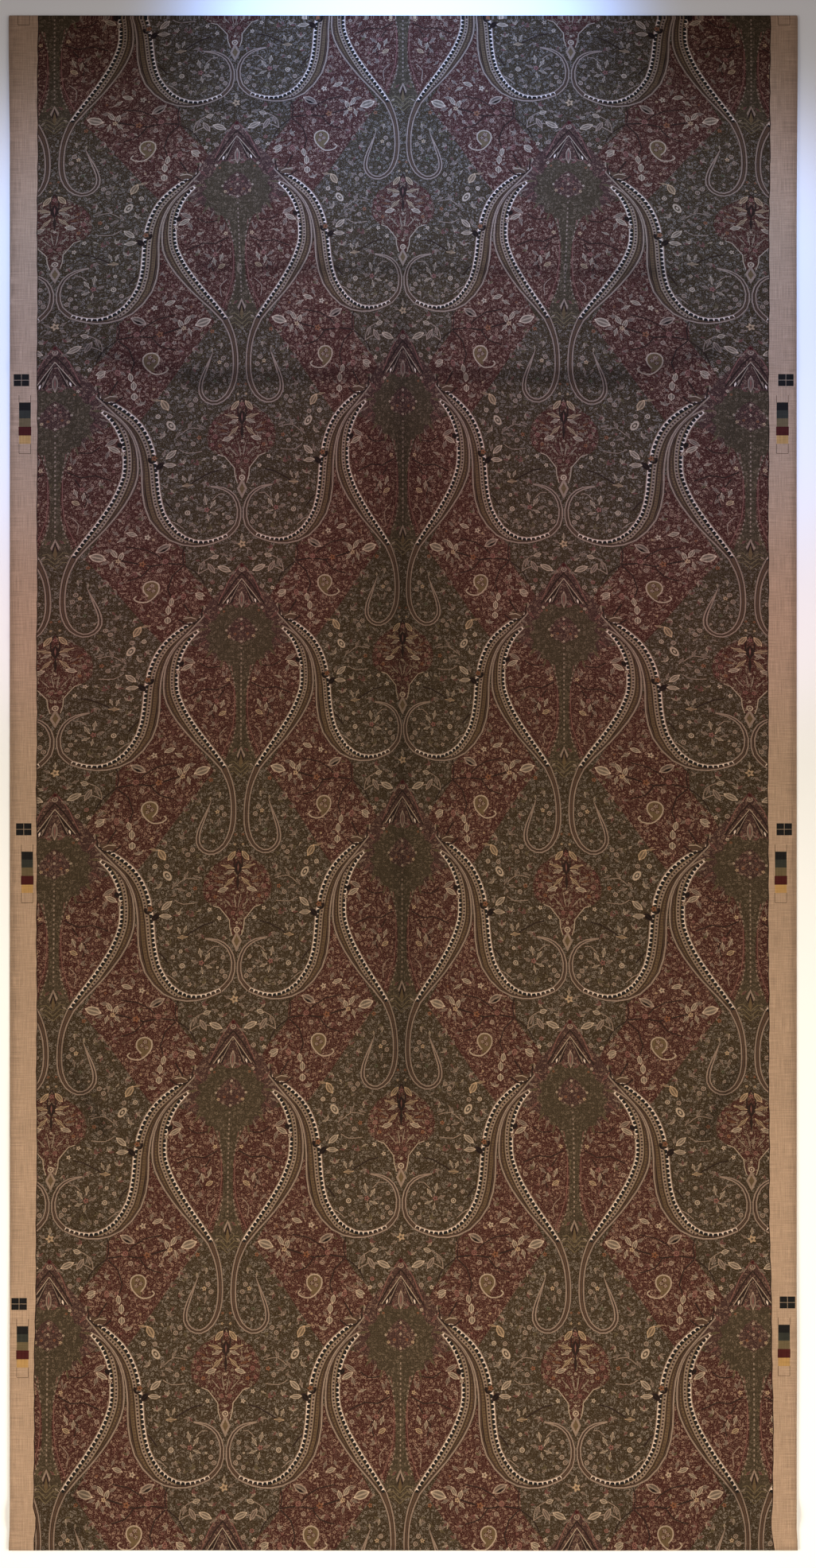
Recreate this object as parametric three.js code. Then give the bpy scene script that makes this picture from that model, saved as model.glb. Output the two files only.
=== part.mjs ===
// A length of printed furnishing linen, doubled end to end and laid flat.
// Millimetres, +Z up. The cloth lies on z = 0, its width along X and its length
// along Y, with the fold at the +Y end. The origin is under the middle.

import * as THREE from "three";

// Driving dimensions
const clothWidth = 1450;      // selvedge to selvedge at the two ends
const clothLength = 2822;     // from the fold to the cut ends, as it lies doubled
const thickness = 1.6;        // of one layer
const layerGap = 1.2;         // between the two layers where they lie closest
const selvedgeWidth = 51;     // unprinted border along each side
const foldSteps = 6;          // steps round the fold
const foldReach = 6;          // how far the fold curves out past the flat layers
const reliefFade = 90;        // stretch by the fold where the creases die away

// Grid of the upper and the lower layer
const rowSpacing = 84;
const lowerRowSpacing = 350;
const columnSpacing = 84;
const leastSpacing = 9;       // rows or columns closer than this are left out
const leastRun = 200;         // a crease this long across the cloth gets rows of its own
const cornerRows = [-1372, -1340];

const colour = "#3a2c24";

// How far each edge of the upper layer lies inside the full width. The lower layer
// shows past it about halfway along.
const edgeDrift = [
  { y: 1411, left: 0.0, right: 0.0 },
  { y: 1000, left: 3.6, right: 2.0 },
  { y: 700, left: 2.2, right: 4.6 },
  { y: 400, left: 4.6, right: 8.0 },
  { y: 0, left: 8.8, right: 9.5 },
  { y: -320, left: 8.0, right: 8.6 },
  { y: -750, left: 4.4, right: 4.0 },
  { y: -1050, left: 1.6, right: 1.4 },
  { y: -1353, left: 2.4, right: 2.6 },
  { y: -1411, left: 0.0, right: 0.0 },
];
const lowerEdgeDrift = 1.5;

// Soft ridges of the upper layer, each along a straight run
const creases = [
  // across the print near the fold
  { from: [-480, 1246], to: [-150, 1246], height: 2.2, spread: 17 },
  { from: [-376, 948], to: [531, 938], height: 2.4, spread: 18 },
  // the arched crease on each side of the middle
  { from: [-580, 796], to: [-376, 742], height: 2.6, spread: 20 },
  { from: [-376, 742], to: [-54, 752], height: 3.2, spread: 20 },
  { from: [580, 796], to: [376, 742], height: 2.6, spread: 20 },
  { from: [376, 742], to: [54, 752], height: 3.2, spread: 20 },
  // the old lengthwise fold in the middle
  { from: [-3, 884], to: [-3, -607], height: 2.4, spread: 20 },
  // slanting creases by the selvedges
  { from: [-653, 767], to: [-595, 620], height: 2.2, spread: 18 },
  { from: [653, 767], to: [595, 620], height: 2.2, spread: 18 },
  { from: [-653, -446], to: [-551, -637], height: 2.6, spread: 20 },
  { from: [618, -520], to: [552, -644], height: 2.6, spread: 20 },
  // short creases across the left selvedge
  { from: [-725, 1052], to: [-664, 1040], height: 1.6, spread: 12 },
  { from: [-725, 762], to: [-664, 752], height: 2.0, spread: 12 },
  { from: [-725, 268], to: [-664, 262], height: 1.6, spread: 12 },
  { from: [-725, 118], to: [-664, 104], height: 1.6, spread: 12 },
  // short creases across the right selvedge
  { from: [725, 1060], to: [664, 1050], height: 1.6, spread: 12 },
  { from: [725, 770], to: [664, 758], height: 2.0, spread: 12 },
  { from: [725, 274], to: [664, 270], height: 1.6, spread: 12 },
  { from: [725, 96], to: [664, 84], height: 1.6, spread: 12 },
  // crumples that spread from the lower corners
  { from: [-725, -1340], to: [-590, -1306], height: 4.2, spread: 16 },
  { from: [-725, -1352], to: [-600, -1372], height: 3.4, spread: 14 },
  { from: [725, -1340], to: [596, -1300], height: 4.2, spread: 16 },
  { from: [725, -1352], to: [606, -1374], height: 3.4, spread: 14 },
];

// Broad unevenness of the upper layer: height, and waves along X and Y
const swells = [
  { height: 0.7, alongX: 1.3, alongY: 2.0, start: 0.4 },
  { height: 0.5, alongX: 2.6, alongY: 3.4, start: 2.1 },
  { height: 0.4, alongX: 0.6, alongY: 5.2, start: 4.0 },
];

const halfWidth = clothWidth / 2;
const halfLength = clothLength / 2;
const lowerTop = thickness;
const upperUnder = thickness + layerGap;
const foldMiddle = thickness + layerGap / 2;
const outerFoldRadius = foldMiddle;
const innerFoldRadius = layerGap / 2;
const foldStart = halfLength - foldReach;

const smooth = (t) => t * t * (3 - 2 * t);
const clamp01 = (t) => Math.min(1, Math.max(0, t));

// Value of one column of the drift table at a place along the cloth
function drift(y, side) {
  const after = edgeDrift.findIndex((row) => row.y <= y);
  if (after <= 0) return edgeDrift[Math.max(after, 0)][side];
  const [high, low] = [edgeDrift[after - 1], edgeDrift[after]];
  const share = smooth((high.y - y) / (high.y - low.y));
  return high[side] + share * (low[side] - high[side]);
}

// Height that one crease adds: round across its run, fading past its ends
function creaseHeight(crease, x, y) {
  const [x0, y0] = crease.from;
  const [dx, dy] = [crease.to[0] - x0, crease.to[1] - y0];
  const along = clamp01(((x - x0) * dx + (y - y0) * dy) / (dx * dx + dy * dy));
  const away = Math.hypot(x - x0 - along * dx, y - y0 - along * dy);
  return crease.height * Math.exp(-((away / crease.spread) ** 2));
}

function swellHeight(swell, x, y) {
  const turn = swell.alongX * (x / halfWidth) + swell.alongY * (y / halfLength);
  return swell.height * (1 + Math.sin(Math.PI * turn + swell.start));
}

// Height of the upper layer over its lowest place, which dies away towards the fold
function relief(x, y) {
  const creased = creases.reduce((sum, crease) => sum + creaseHeight(crease, x, y), 0);
  const swollen = swells.reduce((sum, swell) => sum + swellHeight(swell, x, y), 0);
  return (creased + swollen) * smooth(clamp01((foldStart - y) / reliefFade));
}

// Places along one direction: an even division, with more at the creases
function places(low, high, spacing, extra) {
  const count = Math.round((high - low) / spacing);
  const even = Array.from({ length: count + 1 }, (_, i) => low + ((high - low) * i) / count);
  const inside = extra.filter((at) => at > low + leastSpacing && at < high - leastSpacing);
  const kept = [low, high];
  for (const at of [...inside, ...even]) {
    if (kept.every((other) => Math.abs(other - at) >= leastSpacing)) kept.push(at);
  }
  return kept.sort((a, b) => a - b);
}

const isAcross = (crease) => Math.abs(crease.from[0] - crease.to[0]) > leastRun;
const isLengthwise = (crease) => crease.from[0] === crease.to[0];
const linesOf = (at, spread) => [at, at - spread, at + spread];

const creaseRows = creases
  .filter(isAcross)
  .flatMap((crease) => linesOf((crease.from[1] + crease.to[1]) / 2, crease.spread));
const creaseColumns = creases
  .filter(isLengthwise)
  .flatMap((crease) => linesOf(crease.from[0], crease.spread));
const selvedgeColumns = [
  selvedgeWidth / 2 - halfWidth,
  selvedgeWidth - halfWidth,
  halfWidth - selvedgeWidth,
  halfWidth - selvedgeWidth / 2,
];

const upperRows = places(-halfLength, foldStart, rowSpacing, [...cornerRows, ...creaseRows]);
const lowerRows = places(-halfLength, foldStart, lowerRowSpacing, []);
const columns = places(-halfWidth, halfWidth, columnSpacing, [
  ...selvedgeColumns,
  ...creaseColumns,
]);

// Where a column of the full width comes to, when each edge lies in by its own drift
function across(x, left, right) {
  const share = (x + halfWidth) / clothWidth;
  return x + left * (1 - share) - right * share;
}

// A station is one row of the doubled cloth: where each column's two faces come to.
// outer is the printed face and inner the reverse, which the layers turn to each other.
function lowerStation(y) {
  const side = (x) => across(x, lowerEdgeDrift, lowerEdgeDrift);
  return {
    outer: (x) => [side(x), y, 0],
    inner: (x) => [side(x), y, lowerTop],
  };
}

function foldStation(step) {
  const turn = (Math.PI * step) / foldSteps;
  const inset = lowerEdgeDrift * (1 - step / foldSteps);
  const reach = Math.sin(turn);
  const outerReach = foldReach * reach;
  const innerReach = (foldReach - thickness) * reach;
  return {
    outer: (x) => [
      across(x, inset, inset),
      foldStart + outerReach,
      foldMiddle - outerFoldRadius * Math.cos(turn),
    ],
    inner: (x) => [
      across(x, inset, inset),
      foldStart + innerReach,
      foldMiddle - innerFoldRadius * Math.cos(turn),
    ],
  };
}

function upperStation(y) {
  const side = (x) => across(x, drift(y, "left"), drift(y, "right"));
  return {
    outer: (x) => [side(x), y, upperUnder + thickness + relief(x, y)],
    inner: (x) => [side(x), y, upperUnder + relief(x, y)],
  };
}

function stations() {
  const lower = lowerRows.slice(0, -1).map(lowerStation);
  const fold = Array.from({ length: foldSteps }, (_, step) => foldStation(step));
  const upper = [...upperRows].reverse().map(upperStation);
  return [...lower, ...fold, ...upper];
}

// One closed body: two faces, joined along both side edges and both cut ends
function clothGeometry() {
  const rows = stations();
  const perRow = columns.length;
  const vertices = [];
  for (const face of ["outer", "inner"]) {
    for (const row of rows) columns.forEach((x) => vertices.push(...row[face](x)));
  }
  const outer = (row, column) => row * perRow + column;
  const inner = (row, column) => rows.length * perRow + outer(row, column);
  const triangles = [];
  const quad = (a, b, c, d) => triangles.push(a, b, c, a, c, d);
  const [lastRow, lastColumn] = [rows.length - 1, perRow - 1];
  for (let r = 0; r < lastRow; r++) {
    for (let c = 0; c < lastColumn; c++) {
      quad(outer(r, c), outer(r + 1, c), outer(r + 1, c + 1), outer(r, c + 1));
      quad(inner(r, c), inner(r, c + 1), inner(r + 1, c + 1), inner(r + 1, c));
    }
    quad(outer(r, 0), inner(r, 0), inner(r + 1, 0), outer(r + 1, 0));
    quad(
      outer(r, lastColumn),
      outer(r + 1, lastColumn),
      inner(r + 1, lastColumn),
      inner(r, lastColumn),
    );
  }
  for (let c = 0; c < lastColumn; c++) {
    quad(outer(0, c), outer(0, c + 1), inner(0, c + 1), inner(0, c));
    quad(
      outer(lastRow, c),
      inner(lastRow, c),
      inner(lastRow, c + 1),
      outer(lastRow, c + 1),
    );
  }
  const geometry = new THREE.BufferGeometry();
  geometry.setAttribute("position", new THREE.Float32BufferAttribute(vertices, 3));
  geometry.setIndex(triangles);
  geometry.computeVertexNormals();
  return geometry;
}

const cloth = new THREE.Mesh(
  clothGeometry(),
  new THREE.MeshStandardMaterial({ color: colour, roughness: 0.9, metalness: 0 }),
);
cloth.name = "cloth";

const group = new THREE.Group();
group.add(cloth);

export default group;
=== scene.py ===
# Dressed scene of a length of printed furnishing linen, doubled end to end and laid flat.
import math
import random
from types import SimpleNamespace

import bpy
import numpy as np
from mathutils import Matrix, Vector
from mathutils.geometry import delaunay_2d_cdt


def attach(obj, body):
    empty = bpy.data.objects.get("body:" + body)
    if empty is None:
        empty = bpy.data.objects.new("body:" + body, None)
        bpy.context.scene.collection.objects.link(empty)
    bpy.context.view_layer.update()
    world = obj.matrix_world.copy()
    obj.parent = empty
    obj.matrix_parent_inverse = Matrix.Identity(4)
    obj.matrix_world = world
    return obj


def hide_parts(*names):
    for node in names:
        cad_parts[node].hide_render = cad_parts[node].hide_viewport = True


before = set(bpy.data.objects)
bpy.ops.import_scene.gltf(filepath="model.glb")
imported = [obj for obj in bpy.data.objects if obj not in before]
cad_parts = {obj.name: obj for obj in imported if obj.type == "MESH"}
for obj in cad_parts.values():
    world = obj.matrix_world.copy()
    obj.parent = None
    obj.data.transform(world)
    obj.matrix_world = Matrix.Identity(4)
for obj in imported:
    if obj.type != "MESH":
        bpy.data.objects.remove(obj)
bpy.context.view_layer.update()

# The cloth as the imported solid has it, in millimetres
MM = 0.001
HALF_WIDTH = 725.0
HALF_LENGTH = 1411.0
THICKNESS = 1.6
LAYER_GAP = 1.2
FOLD_STEPS = 6
FOLD_REACH = 6.0
RELIEF_FADE = 90.0
LOWER_EDGE_DRIFT = 1.5
LOWER_TOP = THICKNESS
UPPER_UNDER = THICKNESS + LAYER_GAP
UPPER_TOP = UPPER_UNDER + THICKNESS
FOLD_MIDDLE = THICKNESS + LAYER_GAP / 2
FOLD_START = HALF_LENGTH - FOLD_REACH

# How far each edge of the upper layer lies inside the full width: y, left, right
EDGE_DRIFT = (
    (1411, 0.0, 0.0),
    (1000, 3.6, 2.0),
    (700, 2.2, 4.6),
    (400, 4.6, 8.0),
    (0, 8.8, 9.5),
    (-320, 8.0, 8.6),
    (-750, 4.4, 4.0),
    (-1050, 1.6, 1.4),
    (-1353, 2.4, 2.6),
    (-1411, 0.0, 0.0),
)

# Soft ridges of the upper layer: from x, y, to x, y, height, spread
CREASES = (
    (-480, 1246, -150, 1246, 2.2, 17),
    (-376, 948, 531, 938, 2.4, 18),
    (-580, 796, -376, 742, 2.6, 20),
    (-376, 742, -54, 752, 3.2, 20),
    (580, 796, 376, 742, 2.6, 20),
    (376, 742, 54, 752, 3.2, 20),
    (-3, 884, -3, -607, 2.4, 20),
    (-653, 767, -595, 620, 2.2, 18),
    (653, 767, 595, 620, 2.2, 18),
    (-653, -446, -551, -637, 2.6, 20),
    (618, -520, 552, -644, 2.6, 20),
    (-725, 1052, -664, 1040, 1.6, 12),
    (-725, 762, -664, 752, 2.0, 12),
    (-725, 268, -664, 262, 1.6, 12),
    (-725, 118, -664, 104, 1.6, 12),
    (725, 1060, 664, 1050, 1.6, 12),
    (725, 770, 664, 758, 2.0, 12),
    (725, 274, 664, 270, 1.6, 12),
    (725, 96, 664, 84, 1.6, 12),
    (-725, -1340, -590, -1306, 4.2, 16),
    (-725, -1352, -600, -1372, 3.4, 14),
    (725, -1340, 596, -1300, 4.2, 16),
    (725, -1352, 606, -1374, 3.4, 14),
)

# Broad unevenness of the upper layer: height, waves along x, waves along y, start
SWELLS = ((0.7, 1.3, 2.0, 0.4), (0.5, 2.6, 3.4, 2.1), (0.4, 0.6, 5.2, 4.0))

# The print's repeat: its mirror lines stand half a repeat apart, and every other
# column drops by half a repeat
COLUMN = 302.0
DROP = 425.0

# Where the print lies on the cloth: its own height at each half drop, the height on the
# cloth there, and how far the row has sagged at bowReach to each side
ROW_START = 268.0
ROWS = (
    (1660, 32), (1280, 29), (890, 21), (467, 18), (65, 17),
    (-370, 12), (-810, 3), (-1270, 0), (-1742, 0),
)
BOW_REACH = 528.0

# The print across the cloth: y, middle line, outer mirror line, pinch of the line between
COLUMNS = (
    (1411, -0.7, 640, 11),
    (1125, -0.7, 640, 16),
    (825, -0.7, 639, 24),
    (525, -0.7, 639, 24),
    (50, -1.4, 638, 22),
    (-300, -2.2, 640, 16),
    (-460, -2.9, 641, 11),
    (-700, -4.0, 644, 4),
    (-1190, -5.0, 650, 3),
    (-1411, -6.6, 652, 0),
)

# Edges of the printed field: y, left, right
FIELD_EDGES = (
    (1411, -672, 675),
    (700, -673, 672),
    (0, -674, 671),
    (-700, -674, 673),
    (-1200, -679, 680),
    (-1330, -679, 680),
    (-1356, -675, 676),
    (-1411, -680, 682),
)


def srgb(text):
    """Linear colour of a six-figure screen colour."""
    parts = [int(text[i : i + 2], 16) / 255 for i in (0, 2, 4)]
    return tuple(p / 12.92 if p <= 0.04045 else ((p + 0.055) / 1.055) ** 2.4 for p in parts)


# Grounds of the print, each with the colour of its fine stipple
GROUNDS = {
    "green": (srgb("2e2211"), srgb("655a4c")),
    "wine": (srgb("331710"), srgb("765d4a")),
    "deep": (srgb("33291a"), srgb("584a38")),
    "earth": (srgb("33201a"), srgb("66503f")),
    "ruby": (srgb("351811"), srgb("6f5f4a")),
    "linen": (srgb("977e64"), srgb("9c8369")),
    "reverse": (srgb("5a4a3a"), srgb("6b5a48")),
}
GROUND_NAMES = list(GROUNDS)

INKS = {
    "cream": srgb("c0ab94"),
    "tan": srgb("8c7962"),
    "dust": srgb("776452"),
    "olive": srgb("594c33"),
    "moss": srgb("46442f"),
    "rose": srgb("664338"),
    "rust": srgb("65412a"),
    "bark": srgb("241811"),
    "brown": srgb("453324"),
    "umber": srgb("54432b"),
    "navy": srgb("171512"),
    "mustard": srgb("9c7a48"),
    "forest": srgb("2c2c24"),
    "wine": srgb("3c1511"),
    "ochre": srgb("897154"),
}

# Kinds of printed shape, which the material tells apart
PLAIN, BAND, PIPING, DOTTED, LEAF, FLORET, RING, BARE = range(8)


def smooth(t):
    return t * t * (3 - 2 * t)


def ease_through(table, column, y):
    """One column of a table whose first column falls, eased between its rows."""
    rows = sorted(table)
    keys = np.array([row[0] for row in rows], float)
    values = np.array([row[column] for row in rows], float)
    y = np.clip(np.asarray(y, float), keys[0], keys[-1])
    after = np.clip(np.searchsorted(keys, y), 1, len(keys) - 1)
    share = smooth((y - keys[after - 1]) / (keys[after] - keys[after - 1]))
    return values[after - 1] + share * (values[after] - values[after - 1])


def crease_height(x, y):
    """Height that the creases add to the upper layer."""
    x, y = np.asarray(x, float), np.asarray(y, float)
    height = np.zeros(np.broadcast(x, y).shape)
    for x0, y0, x1, y1, high, spread in CREASES:
        dx, dy = x1 - x0, y1 - y0
        along = np.clip(((x - x0) * dx + (y - y0) * dy) / (dx * dx + dy * dy), 0, 1)
        away = np.hypot(x - x0 - along * dx, y - y0 - along * dy)
        height += high * np.exp(-((away / spread) ** 2))
    return height


def relief(x, y):
    """Height of the upper layer over its lowest place."""
    height = crease_height(x, y)
    for high, along_x, along_y, start in SWELLS:
        turn = along_x * (x / HALF_WIDTH) + along_y * (y / HALF_LENGTH)
        height += high * (1 + np.sin(np.pi * turn + start))
    return height * smooth(np.clip((FOLD_START - y) / RELIEF_FADE, 0, 1))


# Painted shade along the creases: height of a crease whose ridge takes all of it, half the width
# of the print that takes it, and the wide painted shade along the middle fold: its start, its end,
# its width, how dark
FULL_SHADE_HEIGHT = 2.5
PRINT_HALF = 672.0
FOLD_SHADE_STRETCH = (900.0, -640.0)
FOLD_SHADE_WIDTH = 75.0
FOLD_SHADE_SHARE = 0.5


def painted_crease_shade(x, y):
    """Painted shade along the creases that darkens the print: 1 on the ridge of a fully shaded
    crease.
    """
    top, bottom = FOLD_SHADE_STRETCH
    along = smooth(np.clip(np.minimum(top - y, y - bottom) / RELIEF_FADE, 0, 1))
    wide = FOLD_SHADE_SHARE * along * np.exp(-((x / FOLD_SHADE_WIDTH) ** 2))
    printed = smooth(np.clip((PRINT_HALF - np.abs(x)) / RELIEF_FADE, 0, 1))
    return np.clip((crease_height(x, y) / FULL_SHADE_HEIGHT) ** 3 + wide, 0, 1) * printed


def edge_lines(y):
    """Where the left and right edges of the upper layer lie at a height."""
    left = ease_through(EDGE_DRIFT, 1, y)
    right = ease_through(EDGE_DRIFT, 2, y)
    return left - HALF_WIDTH, HALF_WIDTH - right


def upper_height(x, y):
    """Height of the upper layer's printed face at a place on the cloth."""
    left, right = edge_lines(y)
    flat_x = (x - (left + right) / 2) * 2 * HALF_WIDTH / (right - left)
    return UPPER_TOP + relief(flat_x, y)


def curve_values(values, count):
    """Values through evenly spaced ones, on one smooth curve, count to a step."""
    values = np.asarray(values, float)
    slopes = np.gradient(values, axis=0)
    t = np.linspace(0, 1, count, endpoint=False)
    t = t.reshape([-1] + [1] * (values.ndim - 1))
    out = []
    for i in range(len(values) - 1):
        a, b, m, n = values[i], values[i + 1], slopes[i], slopes[i + 1]
        t2, t3 = t * t, t * t * t
        out.append((2 * t3 - 3 * t2 + 1) * a + (t3 - 2 * t2 + t) * m
                   + (3 * t2 - 2 * t3) * b + (t3 - t2) * n)
    return np.concatenate(out + [values[-1:]])


ROW_STEPS = 50
ROW_HEIGHTS = curve_values([row[0] for row in ROWS], ROW_STEPS)
ROW_BOWS = curve_values([row[1] for row in ROWS], ROW_STEPS)
ROW_PRINT = ROW_START + DROP * np.arange(len(ROW_HEIGHTS)) / ROW_STEPS


# Rounds in which a place settles, on the way to the cloth and on the way back
ROUNDS_OUT = 8
ROUNDS_BACK = 12


def print_to_cloth(points):
    """Places on the cloth of points of the flat print."""
    u, v = np.asarray(points, float).T
    middle = np.interp(v, ROW_PRINT, ROW_HEIGHTS)
    bow = np.interp(v, ROW_PRINT, ROW_BOWS)
    y = middle
    for _ in range(ROUNDS_OUT):
        shift, outer, pinch = (ease_through(COLUMNS, c, y) for c in (1, 2, 3))
        x = shift + outer * u / (2 * COLUMN) - pinch * np.sin(np.pi * u / (2 * COLUMN))
        y = middle - bow * (x / BOW_REACH) ** 2
    return np.stack([x, y], 1)


def cloth_to_print(points):
    """Points of the flat print at places on the cloth."""
    x, y = np.asarray(points, float).T
    shift, outer, pinch = (ease_through(COLUMNS, c, y) for c in (1, 2, 3))
    u = (x - shift) * 2 * COLUMN / outer
    v = np.interp(-y, -ROW_HEIGHTS, ROW_PRINT)
    for _ in range(ROUNDS_BACK):
        u = (x - shift + pinch * np.sin(np.pi * u / (2 * COLUMN))) * 2 * COLUMN / outer
        middle = y + np.interp(v, ROW_PRINT, ROW_BOWS) * (x / BOW_REACH) ** 2
        v = np.interp(-middle, -ROW_HEIGHTS, ROW_PRINT)
    return np.stack([u, v], 1)


# Ribbon pieces smaller than this, in square millimetres, are left out
LEAST_AREA = 0.4


class Drawing:
    """Flat shapes in the order in which they are printed, each over those before it."""

    def __init__(self):
        self.outlines = []
        self.maps = []
        self.kinds = []
        self.inks = []
        self.grounds = []

    def add(self, outline, kind, ink, local=None, ground=-1):
        self.outlines.append(np.asarray(outline, float))
        self.maps.append(np.zeros((3, 3)) if local is None else local)
        self.kinds.append(kind)
        self.inks.append(ink)
        self.grounds.append(ground)

    def take(self, other):
        """Adds all the shapes of another drawing."""
        for part, more in vars(other).items():
            getattr(self, part).extend(more)

    def ground(self, outline, name):
        self.add(outline, BARE, (0, 0, 0), ground=GROUND_NAMES.index(name))

    def shape(self, outline, ink, at, turn, length, width, kind):
        """A shape whose outline is in units of its own half length and half width."""
        c, s = math.cos(math.radians(turn)), math.sin(math.radians(turn))
        along, across = np.array([c, s]), np.array([-s, c])
        points = np.array([
            np.array(at) + along * (x * length / 2) + across * (y * width / 2)
            for x, y in outline
        ])
        local = np.array([
            [2 * c / length, 2 * s / length, -2 * (c * at[0] + s * at[1]) / length],
            [-2 * s / width, 2 * c / width, 2 * (s * at[0] - c * at[1]) / width],
            [0, 0, 0],
        ])
        self.add(points, kind, INKS[ink], local)

    def ribbon(self, rows, kind, ink, steps=2, side=1):
        """A band along a smooth line. Its local places are the way along it and the
        way in from its two edges; side is 1 or -1 for the edge that counts first."""
        line = curve_values(rows, steps)
        middle, width = line[:, :2], line[:, 2]
        ahead = np.gradient(middle, axis=0)
        ahead /= np.linalg.norm(ahead, axis=1)[:, None]
        normal = side * np.stack([ahead[:, 1], -ahead[:, 0]], 1)
        run = np.concatenate([[0], np.cumsum(np.linalg.norm(np.diff(middle, axis=0), axis=1))])
        near = middle + normal * width[:, None] / 2
        far = middle - normal * width[:, None] / 2
        for i in range(len(line) - 1):
            corners = [
                (near[i], (run[i], 0, width[i])),
                (far[i], (run[i], width[i], 0)),
                (far[i + 1], (run[i + 1], width[i + 1], 0)),
                (near[i + 1], (run[i + 1], 0, width[i + 1])),
            ]
            for picked in ((0, 1, 2), (0, 2, 3)):
                three = [corners[p] for p in picked]
                flat = np.array([[p[0], p[1], 1.0] for p, _ in three])
                if abs(np.linalg.det(flat)) < LEAST_AREA:
                    continue
                values = np.array([value for _, value in three])
                local = np.linalg.solve(flat, values).T
                self.add([p for p, _ in three], kind, INKS[ink], local)


LEAF_SHAPE = ((-1, 0), (-0.45, -0.86), (0.35, -0.9), (1, 0), (0.35, 0.9), (-0.45, 0.86))
SLIM_SHAPE = ((-1, 0), (-0.1, -0.95), (1, 0), (-0.1, 0.95))
SQUARE_SHAPE = ((-1, -1), (1, -1), (1, 1), (-1, 1))

# Middle lines of the two great bands of one half repeat: across, down, width
OUTER_BAND = (
    (60, -2, 5), (77, 13, 13), (97, 31, 20), (119, 54, 24), (134, 79, 26),
    (144, 110, 28), (149, 148, 30), (151, 187, 32), (161, 232, 31), (188, 270, 25),
    (222, 286, 16), (252, 284, 12), (277, 274, 11),
)
SCROLL_HOOK = (
    (277, 274, 11), (293, 255, 10), (297, 226, 9), (288, 200, 8), (270, 186, 7),
    (248, 181, 4),
)
INNER_BAND = (
    (71, 30, 8), (91, 48, 16), (107, 74, 22), (116, 104, 26), (118, 141, 28),
    (113, 168, 29), (98, 202, 27), (72, 242, 23), (48, 273, 18), (29, 300, 14),
)
PENDANT = (
    (29, 300, 14), (19, 325, 12), (13, 352, 11), (11, 385, 11), (14, 415, 11),
    (25, 440, 10), (43, 453, 9), (60, 449, 9), (70, 434, 9), (69, 414, 8),
    (62, 393, 7), (55, 374, 4), (50, 360, 2),
)

# Places that the scattered small motifs keep clear of: across, down, reach
KEPT_CLEAR = (
    (0, 508, 60), (0, 575, 18), (0, 612, 16), (0, 34, 58), (0, -50, 26), (0, 800, 26),
    (150, -54, 20), (180, -38, 8),
)


def draw_grounds(d):
    """Coloured grounds of one half repeat, over the green of the page."""
    d.ground([
        (0, 86), (30, 78), (62, 66), (90, 60), (106, 84), (112, 112), (112, 142), (105, 170),
        (88, 205), (62, 242), (38, 272), (20, 292), (0, 302),
    ], "wine")
    d.ground([
        (133, 150), (142, 198), (155, 240), (180, 272), (206, 300), (207, 330), (222, 352),
        (242, 374), (256, 402), (254, 422), (240, 424), (222, 436), (200, 450), (180, 466),
        (168, 478), (130, 425), (96, 374), (60, 323), (46, 304), (76, 252), (105, 216),
        (126, 178),
    ], "wine")
    d.ground([
        (0, -100), (14, -82), (30, -52), (50, -30), (64, -10), (82, 8), (88, 34), (80, 60),
        (62, 70), (40, 92), (0, 100),
    ], "earth")
    d.ground([
        (0, -14), (26, -16), (38, -4), (44, 12), (58, 20), (52, 34), (62, 46), (53, 58),
        (58, 74), (42, 78), (40, 92), (27, 95), (20, 112), (14, 132), (9, 160), (8, 190),
        (9, 220), (14, 245), (22, 268), (28, 290), (16, 306), (0, 312),
    ], "deep")
    d.ground([(0, 6), (12, 14), (26, 34), (22, 50), (8, 56), (0, 62)], "earth")
    d.ground([
        (0, 449), (12, 456), (26, 466), (44, 478), (56, 496), (60, 516), (57, 534), (46, 546),
        (31, 551), (23, 560), (15, 571), (11, 582), (9, 600), (0, 606),
    ], "ruby")


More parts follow.
